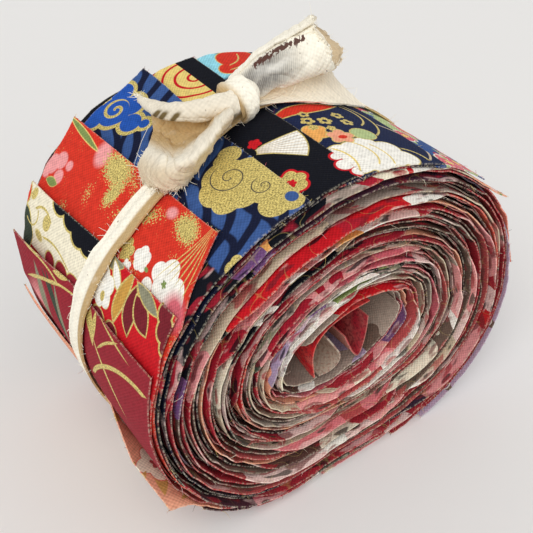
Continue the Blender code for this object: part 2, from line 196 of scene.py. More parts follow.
def grid_quads(rows: int, cols: int) -> Array:
    """Quads of a grid: each cell's corners, turned from the row's next point to the next row's."""
    index = np.arange(rows * cols).reshape(rows, cols)
    corners = (index[:-1, :-1], index[:-1, 1:], index[1:, 1:], index[1:, :-1])
    return np.stack(corners, -1).reshape(-1, 4)


def sheet_quads(rows: int, cols: int) -> Array:
    """Quads of a closed sheet: the front grid, the back grid turned round, then its four borders."""
    index = np.arange(rows * cols).reshape(rows, cols)
    back = rows * cols
    front = grid_quads(rows, cols)
    behind = front[:, [0, 3, 2, 1]] + back
    border = np.concatenate([index[0], index[1:, -1], index[-1, -2::-1], index[-2:0:-1, 0]])
    after = np.roll(border, -1)
    rim = np.stack([border, border + back, after + back, after], -1)
    return np.concatenate([front, behind, rim])


def make_mesh(
    name: str,
    points: Array,
    quads: Array,
    uv: Array | None = None,
    values: dict[str, Array] | None = None,
) -> Piece:
    """A mesh object from arrays.

    Args:
        name: the piece's name.
        points: n by 3, in mm round the roll's axis.
        quads: m by 4 or m by 3 corner numbers.
        uv: n by 2 cloth coordinates in mm, stored in the map named Cloth.
        values: n numbers each, stored as attributes under their names.

    Returns:
        The object, linked to the scene, smooth apart from its folds.
    """
    mesh = bpy.data.meshes.new(name)
    corners = quads.shape[1]
    mesh.vertices.add(len(points))
    mesh.loops.add(quads.size)
    mesh.polygons.add(len(quads))
    mesh.vertices.foreach_set("co", (np.asarray(points) * MM + ORIGIN_SHIFT).astype(np.float32).ravel())
    mesh.loops.foreach_set("vertex_index", quads.astype(np.int32).ravel())
    mesh.polygons.foreach_set("loop_start", np.arange(len(quads), dtype=np.int32) * corners)
    mesh.polygons.foreach_set("loop_total", np.full(len(quads), corners, np.int32))
    mesh.update(calc_edges=True)
    mesh.validate()
    if uv is not None:
        layer = mesh.uv_layers.new(name="Cloth")
        layer.data.foreach_set("uv", uv[quads.ravel()].astype(np.float32).ravel())
    for key, numbers in (values or {}).items():
        attribute = mesh.attributes.new(key, "FLOAT", "POINT")
        attribute.data.foreach_set("value", np.asarray(numbers, np.float32).ravel())
    mesh.shade_smooth()
    mesh.set_sharp_from_angle(angle=SHARP_FROM)
    shape = bpy.data.objects.new(name, mesh)
    bpy.context.scene.collection.objects.link(shape)
    return shape


def cloth_sheet(
    name: str,
    middle: Array,
    thickness: float,
    uv: Array,
    tints: dict[str, Array] | None = None,
) -> Piece:
    """A closed sheet round a grid of middle points: half its thickness to each side along the normal.

    Args:
        name: the piece's name.
        middle: rows by columns by 3, in mm.
        thickness: the cloth's thickness in mm.
        uv: rows by columns by 2 cloth coordinates in mm.
        tints: rows by columns numbers each, stored on both sides under their names.

    Returns:
        The object.
    """
    rows, cols = middle.shape[:2]
    reach = grid_normals(middle) * thickness / 2
    points = np.concatenate([(middle + reach).reshape(-1, 3), (middle - reach).reshape(-1, 3)])
    both = np.concatenate([uv.reshape(-1, 2)] * 2)
    values = {"Reverse": np.repeat([0.0, 1.0], rows * cols)}
    for key, numbers in (tints or {}).items():
        values[key] = np.tile(np.broadcast_to(numbers, (rows, cols)).ravel(), 2)
    return make_mesh(name, points, sheet_quads(rows, cols), both, values)


def seat(shape: Piece, slot: str, *stands_for: str) -> None:
    """Lets a piece ride on the root and hides the solids of the frame that it stands for."""
    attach(shape, "root")
    if stands_for:
        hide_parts(*stands_for)


def flat_lengths(middle: Array) -> Array:
    """Cloth coordinates of a grid in mm: summed lengths along its middle column and across its rows."""
    along = np.linalg.norm(np.diff(middle, axis=0), axis=-1)
    across = np.linalg.norm(np.diff(middle, axis=1), axis=-1)
    u = np.concatenate([[0], np.cumsum(along.mean(axis=1))])[:, None]
    v = np.concatenate([np.zeros((len(middle), 1)), np.cumsum(across, axis=1)], axis=1)
    return np.stack([np.broadcast_to(u, v.shape), v], -1)


# ---------------------------------------------------------------- the roll's form

CENTER_HEIGHT = 42.8
ORIGIN_SHIFT = np.array([-1.33, 0.25, CENTER_HEIGHT]) * MM


@dataclass(frozen=True)
class RollForm:
    """The wound body: its oval section, the hollow core, the flat spot and the tie's groove."""

    width: float = 63.5
    radius: float = 49.83
    # order of the wave round the section, its cosine share, its sine share
    waves: tuple = (
        (2, 0.0819, -0.0340), (3, 0.0094, -0.0280), (4, -0.0179, -0.0157), (5, -0.0028, 0.0088),
    )
    core_center: Pair = (-1.4, 2.2)
    core_half: Pair = (16.4, 9.4)
    core_tilt_deg: float = 9.0
    groove_depth: float = 0.7
    groove_underneath: float = 1.95
    groove_reach: float = 5.5
    groove_fade: float = 7.0
    # angle in degrees, place along Y of the middle of the tie
    tie_path: tuple = (
        (0, 4.2), (50, 4.6), (75, 6.0), (94, 5.0), (111, 0.2), (128, -1.8), (141, -2.5),
        (154, -1.0), (167, 0.8), (180, 3.2), (225, 3.4), (270, 3.0), (315, 3.6), (360, 4.2),
    )

    def skin_radius(self, angle: Array) -> Array:
        """Radius of the outer skin: a circle plus four low waves of the angle, which is in radians."""
        waves = (c * np.cos(n * angle) + s * np.sin(n * angle) for n, c, s in self.waves)
        return self.radius * (1 + sum(waves))

    def tie_middle(self, degrees: Array) -> Array:
        """Place along Y of the tie's middle, read between the rows of its path."""
        stations, places = np.array(self.tie_path, float).T
        return np.interp(np.asarray(degrees) % 360, stations, places)

    def core(self, angle: Array) -> tuple[Array, Array]:
        """X and Z of the core's wall: a tilted oval."""
        across = self.core_half[0] * np.cos(angle)
        up = self.core_half[1] * np.sin(angle)
        tilt = np.radians(self.core_tilt_deg)
        x = self.core_center[0] + across * np.cos(tilt) - up * np.sin(tilt)
        z = self.core_center[1] + across * np.sin(tilt) + up * np.cos(tilt)
        return x, z

    def place(self, degrees: Array, along: Array, depth: Array, share: Array) -> Array:
        """Points in the wound body.

        The skin at the angle, less a depth, kept above the flat spot and pressed in by a bell across
        the tie that fades inwards; then a straight blend from there to the core's wall by the share.

        Args:
            degrees: angle round the axis.
            along: place along Y.
            depth: distance below the skin before the blend.
            share: 0 at the skin, 1 at the core's wall.

        Returns:
            Array of points, its last axis x, y, z.
        """
        degrees, along, depth, share = np.broadcast_arrays(degrees, along, depth, share)
        angle = np.radians(degrees)
        radius = self.skin_radius(angle) - depth
        height = np.maximum(radius * np.sin(angle), depth - CENTER_HEIGHT)
        underneath = np.clip(-np.sin(angle) * 1.6 - 0.2, 0, 1)
        press = self.groove_depth + (self.groove_underneath - self.groove_depth) * underneath
        press = press * np.exp(-(((along - self.tie_middle(degrees)) / self.groove_reach) ** 2))
        press = press * np.exp(-share * 36 / self.groove_fade)
        core_x, core_z = self.core(angle)
        x = (radius - press) * np.cos(angle) * (1 - share) + core_x * share
        z = (height - press * np.sin(angle)) * (1 - share) + core_z * share
        return np.stack([x, along, z], -1)


# ---------------------------------------------------------------- inks and fields


def ink(red: int, green: int, blue: int) -> Colour:
    """A colour given as screen values from 0 to 255, as the linear light that shaders take."""
    share = np.array([red, green, blue]) / 255
    light = np.where(share <= 0.04045, share / 12.92, ((share + 0.055) / 1.055) ** 2.4)
    return tuple(float(part) for part in light)


class Ink(Enum):
    """The dyes and printing inks of the cloths."""

    WHITE = ink(244, 241, 232)
    CREAM = ink(240, 232, 208)
    GOLD = ink(216, 196, 118)
    PALE_GOLD = ink(232, 206, 122)
    OCHRE = ink(200, 152, 72)
    VERMILION = ink(212, 54, 38)
    RED = ink(200, 26, 36)
    WINE = ink(150, 40, 52)
    MAROON = ink(118, 34, 44)
    CRIMSON = ink(172, 34, 52)
    PINK = ink(236, 158, 158)
    ROSE = ink(214, 106, 118)
    BLUSH = ink(240, 206, 200)
    PEACH = ink(236, 164, 132)
    CORAL = ink(222, 112, 92)
    ORANGE = ink(234, 168, 92)
    BLACK = ink(15, 17, 26)
    PLUM = ink(66, 34, 52)
    PURPLE = ink(116, 78, 126)
    LILAC = ink(172, 152, 182)
    NAVY = ink(27, 37, 70)
    STEEL = ink(58, 88, 144)
    ROYAL = ink(36, 84, 172)
    DEEP = ink(20, 26, 52)
    TURQUOISE = ink(146, 214, 230)
    GREEN = ink(128, 148, 84)
    PALE_GREEN = ink(178, 194, 138)
    GREY_GREEN = ink(142, 140, 116)
    BOTTLE = ink(62, 72, 60)
    TAUPE = ink(164, 148, 136)
    SAND = ink(204, 186, 160)
    UMBER = ink(84, 60, 54)
    BROWN = ink(82, 46, 38)
    COTTON = ink(253, 248, 232)
    TAN = ink(196, 164, 112)
    OLIVE = ink(116, 98, 62)
    SILVER = ink(118, 114, 112)


class Field:
    """A number worked out over a surface: one output socket, on which arithmetic adds Math nodes."""

    def __init__(self, tree: bpy.types.NodeTree, socket: Socket) -> None:
        """Wraps a socket of a tree."""
        self.tree = tree
        self.socket = socket

    def math(self, operation: str, *others: "Field | float", clamp: bool = False) -> "Field":
        """A Math node of this field and up to two others."""
        node = self.tree.nodes.new("ShaderNodeMath")
        node.operation = operation
        node.use_clamp = clamp
        self.tree.links.new(self.socket, node.inputs[0])
        for slot, other in enumerate(others, 1):
            if isinstance(other, Field):
                self.tree.links.new(other.socket, node.inputs[slot])
            else:
                node.inputs[slot].default_value = float(other)
        return Field(self.tree, node.outputs[0])

    def __add__(self, other: "Field | float") -> "Field":
        """Sum."""
        return self.math("ADD", other)

    def __sub__(self, other: "Field | float") -> "Field":
        """Difference."""
        return self.math("SUBTRACT", other)

    def __mul__(self, other: "Field | float") -> "Field":
        """Product."""
        return self.math("MULTIPLY", other)

    def __abs__(self) -> "Field":
        """Size without sign."""
        return self.math("ABSOLUTE")

    def scaled(self, by: "Field | float", plus: "Field | float" = 0.0, clamp: bool = False) -> "Field":
        """This field times one number plus another."""
        return self.math("MULTIPLY_ADD", by, plus, clamp=clamp)


@dataclass
class Canvas:
    """A strip's printed side: its cloth coordinates, where angles fall on it, and the colour so far."""

    tree: bpy.types.NodeTree
    spot: Socket
    home_deg: float
    to_u: Callable[[float], float]
    colour: Socket | None = None

    def vector(self, operation: str, first: Socket, second: tuple) -> bpy.types.Node:
        """A Vector Math node of a socket and a constant."""
        node = self.tree.nodes.new("ShaderNodeVectorMath")
        node.operation = operation
        self.tree.links.new(first, node.inputs[0])
        node.inputs[1].default_value = tuple(second) + (0.0,) * (3 - len(second))
        return node

    def flat(self, place: Pair) -> Pair:
        """A place given as angle and mm from the near edge, in cloth coordinates."""
        return (self.to_u(place[0]), place[1])

    def local(self, place: Pair, half: Pair, turn_deg: float) -> tuple[Field, Field]:
        """Coordinates round a place, turned, in units of the two half sizes."""
        angle = np.radians(turn_deg)
        away = self.vector("SUBTRACT", self.spot, self.flat(place)).outputs[0]
        along = (np.cos(angle) / half[0], np.sin(angle) / half[0])
        across = (-np.sin(angle) / half[1], np.cos(angle) / half[1])
        x = Field(self.tree, self.vector("DOT_PRODUCT", away, along).outputs["Value"])
        y = Field(self.tree, self.vector("DOT_PRODUCT", away, across).outputs["Value"])
        return x, y

    def noise(
        self, size: float, detail: float, shift: float = 0.0, stretch: float = 1.0, kind: str = "FBM"
    ) -> Field:
        """A noise of the cloth coordinates: features of a size in mm, stretched along the strip."""
        moved = self.vector("ADD", self.spot, (shift, shift * 0.7)).outputs[0]
        if stretch != 1.0:
            moved = self.vector("MULTIPLY", moved, (1 / stretch, 1.0)).outputs[0]
        node = self.tree.nodes.new("ShaderNodeTexNoise")
        node.noise_dimensions = "2D"
        node.noise_type = kind
        node.inputs["Scale"].default_value = 1 / size
        node.inputs["Detail"].default_value = detail
        self.tree.links.new(moved, node.inputs["Vector"])
        return Field(self.tree, node.outputs[0])

    def axes(self) -> tuple[Field, Field]:
        """Cloth coordinates along and across the strip, in mm."""
        node = self.tree.nodes.new("ShaderNodeSeparateXYZ")
        self.tree.links.new(self.spot, node.inputs[0])
        return Field(self.tree, node.outputs[0]), Field(self.tree, node.outputs[1])

    def attribute(self, name: str) -> Field:
        """A number that the piece's points carry."""
        node = self.tree.nodes.new("ShaderNodeAttribute")
        node.attribute_name = name
        return Field(self.tree, node.outputs["Fac"])

    def weave(self, thread: float) -> Field:
        """Plain weave: the product of a sine along and a sine across the strip, a thread half a wave."""
        along, across = (axis.scaled(np.pi / thread).math("SINE") for axis in self.axes())
        return along * across

    def steps(self, at: Field, first: Ink, stops: Iterable[tuple[float, Ink]]) -> Socket:
        """A ramp without blends: a first ink, then each ink from its position between 0 and 1 on."""
        node = self.tree.nodes.new("ShaderNodeValToRGB")
        node.color_ramp.interpolation = "CONSTANT"
        elements = node.color_ramp.elements
        elements.remove(elements[-1])
        elements[0].position = 0.0
        elements[0].color = (*first.value, 1)
        for position, colour in stops:
            elements.new(position).color = (*colour.value, 1)
        self.tree.links.new(at.socket, node.inputs[0])
        return node.outputs[0]

    def toned(self, shade: Field) -> Socket:
        """The colour so far, times a shade."""
        node = self.tree.nodes.new("ShaderNodeMix")
        node.data_type = "RGBA"
        node.blend_type = "MULTIPLY"
        node.inputs["Factor"].default_value = 1.0
        self.tree.links.new(self.colour, node.inputs[6])
        self.tree.links.new(shade.socket, node.inputs[7])
        return node.outputs[2]

    def bump(self, height: Field, depth: float, strength: float, under: Socket | None = None) -> Socket:
        """A normal tilted by a height that stands for a depth in mm, over the normal under it."""
        node = self.tree.nodes.new("ShaderNodeBump")
        node.inputs["Strength"].default_value = strength
        node.inputs["Distance"].default_value = depth * MM
        self.tree.links.new(height.socket, node.inputs["Height"])
        if under is not None:
            self.tree.links.new(under, node.inputs["Normal"])
        return node.outputs[0]

    def drive(self, name: str, value: "Field | Socket | float") -> None:
        """Joins an input of the material's shader to a field or socket, or sets it to a number."""
        target = self.tree.nodes["Principled BSDF"].inputs[name]
        if isinstance(value, float):
            target.default_value = value
        else:
            self.tree.links.new(value.socket if isinstance(value, Field) else value, target)

    def range_to(self, place: Pair) -> Field:
        """Distance from a place in mm."""
        return Field(self.tree, self.vector("DISTANCE", self.spot, self.flat(place)).outputs["Value"])

    def paint(self, mask: Field, colour: "Ink | Socket") -> None:
        """Lays a colour over the colour so far where the mask is 1."""
        node = self.tree.nodes.new("ShaderNodeMix")
        node.data_type = "RGBA"
        self.tree.links.new(mask.socket, node.inputs["Factor"])
        self.tree.links.new(self.colour, node.inputs[6])
        if isinstance(colour, Ink):
            node.inputs[7].default_value = (*colour.value, 1.0)
        else:
            self.tree.links.new(colour, node.inputs[7])
        self.colour = node.outputs[2]


def new_material(
    name: str, ground: Ink, home_deg: float = 0.0, to_u: Callable[[float], float] = float
) -> tuple[Material, Canvas]:
    """A new material, and a canvas of one ink on the cloth coordinates of the pieces that wear it."""
    material = bpy.data.materials.new(name)
    material.use_nodes = True
    tree = material.node_tree
    cloth = tree.nodes.new("ShaderNodeUVMap")
    cloth.uv_map = "Cloth"
    base = tree.nodes.new("ShaderNodeRGB")
    base.outputs[0].default_value = (*ground.value, 1)
    return material, Canvas(tree, cloth.outputs[0], home_deg, to_u, base.outputs[0])


def length_of(x: Field, y: Field) -> Field:
    """Length of a vector given by two fields."""
    return (x * x).math("ADD", y * y).math("SQRT")


class Form(Protocol):
    """What the forms of the prints have in common."""

    def distance(self, canvas: Canvas) -> Field:
        """Distance from the form's outline in mm, negative inside."""


@dataclass(frozen=True)
class Blob:
    """An oval: the length of the scaled local place, less one, times the smaller half size."""

    place: Pair
    half: Pair
    turn_deg: float = 0.0

    def distance(self, canvas: Canvas) -> Field:
        """Distance from the oval."""
        x, y = canvas.local(self.place, self.half, self.turn_deg)
        reach = min(self.half)
        return length_of(x, y).scaled(reach, -reach)


@dataclass(frozen=True)
class Leaf(Blob):
    """A lens with two tips: |y| + x squared, less one, times the half width."""

    def distance(self, canvas: Canvas) -> Field:
        """Distance from the leaf."""
        x, y = canvas.local(self.place, self.half, self.turn_deg)
        return x.scaled(x, abs(y)).scaled(self.half[1], -self.half[1])


@dataclass(frozen=True)
class Flower:
    """Petals: the radius less a circle that swells with the cosine of the petals' angle."""

    place: Pair
    radius: float
    petals: int = 5
    turn_deg: float = 0.0
    notch: float = 0.30

    def distance(self, canvas: Canvas) -> Field:
        """Distance from the petals."""
        x, y = canvas.local(self.place, (1.0, 1.0), self.turn_deg)
        swell = abs(y.math("ARCTAN2", x).scaled(self.petals / 2).math("COSINE"))
        radius = length_of(x, y)
        dented = swell.scaled(-self.radius * self.notch, radius)
        return dented.scaled(1.0, -self.radius * (1 - self.notch))


@dataclass(frozen=True)
class Curl:
    """A spiral line: the gap between the radius in turns and the angle in turns, cut off at a radius."""

    place: Pair
    radius: float
    pitch: float
    half_line: float
    turn_deg: float = 0.0

    def distance(self, canvas: Canvas) -> Field:
        """Distance from the spiral line."""
        x, y = canvas.local(self.place, (1.0, 1.0), self.turn_deg)
        radius = length_of(x, y)
        turns = y.math("ARCTAN2", x).scaled(-1 / (2 * np.pi), radius * (1 / self.pitch))
        line = abs(turns.math("FRACT") - 0.5).scaled(self.pitch, -self.half_line)
        return line.math("MAXIMUM", radius - self.radius)


@dataclass(frozen=True)
class Cloud:
    """Overlapping discs: the least of their distances. Each lobe is an angle, a place and a radius."""

    lobes: tuple[Triple, ...]

    def distance(self, canvas: Canvas) -> Field:
        """Distance from the joined discs."""
        found: Field | None = None
        for deg, v, radius in self.lobes:
            lobe = canvas.range_to((deg, v)) - radius
            found = lobe if found is None else found.math("MINIMUM", lobe)
        return found


@dataclass(frozen=True)
class Stroke:
    """A line on the circle through three places: the distance from the circle, cut off at its ends."""

    start: Pair
    middle: Pair
    end: Pair
    half_line: float = 0.3

    def distance(self, canvas: Canvas) -> Field:
        """Distance from the line."""
        a, b, c = (np.array(canvas.flat(place)) for place in (self.start, self.middle, self.end))
        bow = (b - a)[0] * (c - a)[1] - (b - a)[1] * (c - a)[0]
        if abs(bow) < 0.02 * np.dot(c - a, c - a):
            b = b + np.array([a[1] - c[1], c[0] - a[0]]) * 0.02
        ends = 2 * np.array([b - a, c - a])
        center = np.linalg.solve(ends, [b @ b - a @ a, c @ c - a @ a])
        radius = np.linalg.norm(a - center)
        aim = unit((a + c) / 2 - center)
        if (b - center) @ aim < 0:
            aim = -aim
        nearest = min((a - center) @ aim, (c - center) @ aim)
        away = canvas.vector("SUBTRACT", canvas.spot, tuple(center)).outputs[0]
        reach = Field(canvas.tree, canvas.vector("LENGTH", away, (0.0,)).outputs["Value"])
        ahead = Field(canvas.tree, canvas.vector("DOT_PRODUCT", away, tuple(aim)).outputs["Value"])
        ring = abs(reach - float(radius)) - self.half_line
        return ring.math("MAXIMUM", ahead.scaled(-1.0, float(nearest)))


@dataclass(frozen=True)
class Fan:
    """A sector: the radius and the angle both inside their limits, its ribs left open between folds."""

    place: Pair
    radius: float
    half_deg: float
    turn_deg: float
    hub: float = 1.6

    def distance(self, canvas: Canvas) -> Field:
        """Distance from the sector."""
        x, y = canvas.local(self.place, (1.0, 1.0), self.turn_deg)
        radius = length_of(x, y)
        turn = abs(y.math("ARCTAN2", x)) - np.radians(self.half_deg)
        edge = (turn * radius).math("MAXIMUM", radius - self.radius)
        return edge.math("MAXIMUM", radius.scaled(-1.0, self.hub))


@dataclass(frozen=True)
class Ribs:
    """A fan's ribs: the gap from the nearest of even angles, inside the fan's own sector."""

    fan: Fan
    count: int = 9
    half_line: float = 0.14

    def distance(self, canvas: Canvas) -> Field:
        """Distance from the ribs."""
        x, y = canvas.local(self.fan.place, (1.0, 1.0), self.fan.turn_deg)
        radius = length_of(x, y)
        step = 2 * np.radians(self.fan.half_deg) / self.count
        share = (y.math("ARCTAN2", x) * (1 / step)).math("FRACT")
        line = (abs(share - 0.5) * radius).scaled(step, -self.half_line)
        return line.math("MAXIMUM", self.fan.distance(canvas))


@dataclass(frozen=True)
class Area:
    """A plain rectangle between two angles and two places: the larger of the two gaps."""

    deg: Pair
    v: Pair

    def distance(self, canvas: Canvas) -> Field:
        """Distance from the rectangle."""
        ends = sorted(canvas.to_u(deg) for deg in self.deg)
        center = ((ends[0] + ends[1]) / 2, sum(self.v) / 2)
        half = ((ends[1] - ends[0]) / 2, abs(self.v[1] - self.v[0]) / 2)
        away = canvas.vector("SUBTRACT", canvas.spot, center).outputs[0]
        x = Field(canvas.tree, canvas.vector("DOT_PRODUCT", away, (1.0, 0.0)).outputs["Value"])
        y = Field(canvas.tree, canvas.vector("DOT_PRODUCT", away, (0.0, 1.0)).outputs["Value"])
        return (abs(x) - half[0]).math("MAXIMUM", abs(y) - half[1])


@dataclass(frozen=True)
class Waves:
    """Swaying stripes: a sine of the local height plus a slower sine of the local length."""

    period: float
    share: float
    turn_deg: float
    sway: float
    sway_period: float

    def distance(self, canvas: Canvas) -> Field:
        """Distance from the stripes, roughly."""
        x, y = canvas.local((canvas.home_deg, 0.0), (1.0, 1.0), self.turn_deg)
        sway = x.scaled(2 * np.pi / self.sway_period).math("SINE").scaled(self.sway, y)
        slow = x.scaled(2 * np.pi / (self.sway_period * 2.7), 1.1).math("SINE")
        wave = slow.scaled(self.sway * 0.8, sway).scaled(2 * np.pi / self.period).math("SINE")
        level = float(np.cos(np.pi * self.share))
        return wave.scaled(-self.period / (2 * np.pi), level * self.period / (2 * np.pi))


@dataclass(frozen=True)
class Specks:
    """Scattered specks: a fine noise over a threshold, thinned by a slow noise."""

    size: float
    share: float
    cluster: float = 6.0

    def distance(self, canvas: Canvas) -> Field:
        """Distance from the specks, roughly."""
        fine = canvas.noise(self.size, 2.0)
        slow = canvas.noise(self.cluster, 0.0)
        return (fine + slow.scaled(0.9, -0.45)).scaled(-self.size * 3, self.size * 3 * (1 - self.share))


class Paint(NamedTuple):
    """A form with its fill and outline; a grain breaks a soft fill up into dust of that size in mm."""

    form: Form
    fill: Ink
    edge: Ink | None = None
    half_edge: float = 0.22
    soft: float = 0.16
    grain: float = 0.0

    def lay(self, canvas: Canvas) -> None:
        """Paints the outline, then the fill; a grain adds a noise and keeps the sum's peaks."""
        distance = self.form.distance(canvas)
        if self.edge is not None:
            outline = distance.scaled(-1 / self.soft, 0.5 + self.half_edge / self.soft, clamp=True)
            canvas.paint(outline, self.edge)
            distance = distance + self.half_edge
        mask = distance.scaled(-1 / self.soft, 0.5, clamp=True)
        if self.grain:
            mask = (mask + canvas.noise(self.grain, 1.0, 29.0)).scaled(12.0, -11.4, clamp=True)
        canvas.paint(mask, self.fill)


def sprigs(places: str, petals: Ink, heart: Ink, leaves: Ink, edge: Ink) -> tuple[Paint, ...]:
    """Five-petalled flowers on pairs of leaves, each turned differently.

    Args:
        places: angle, place across the strip and radius of each flower, as `triples` reads them.
        petals: ink of the flowers.
        heart: ink of their middles.
        leaves: ink of the leaves.
        edge: ink of the petals' outline.

    Returns:
        The paints, in the order in which they are laid.
    """
    paints: list[Paint] = []
    for number, (deg, v, radius) in enumerate(triples(places)):
        turn = 47.0 * number
        paints += (
            Paint(Leaf((deg, v), (radius * 1.75, radius * 0.42), turn + 35), leaves),
            Paint(Leaf((deg, v), (radius * 1.55, radius * 0.36), turn - 42), leaves),
            Paint(Flower((deg, v), radius, 5, turn, 0.26), petals, edge, 0.15),
            Paint(Flower((deg, v), radius * 0.34, 5, turn + 36, 0.4), heart),
        )
    return tuple(paints)


def strokes(colour: Ink, *rows: tuple[float, ...]) -> tuple[Paint, ...]:
    """Lines of one ink, each row its start, middle and end (angle, place across) and half its width."""
    return tuple(Paint(Stroke(row[:2], row[2:4], row[4:6], row[6]), colour) for row in rows)


def cloud(
    colour: Ink, lobes: str, edge: Ink | None = None, half_edge: float = 0.22, soft: float = 0.16
) -> Paint:
    """Joined discs of one ink, as `triples` reads them."""
    return Paint(Cloud(triples(lobes)), colour, edge, half_edge, soft)


# ---------------------------------------------------------------- the strips' prints


G = Ink.GOLD

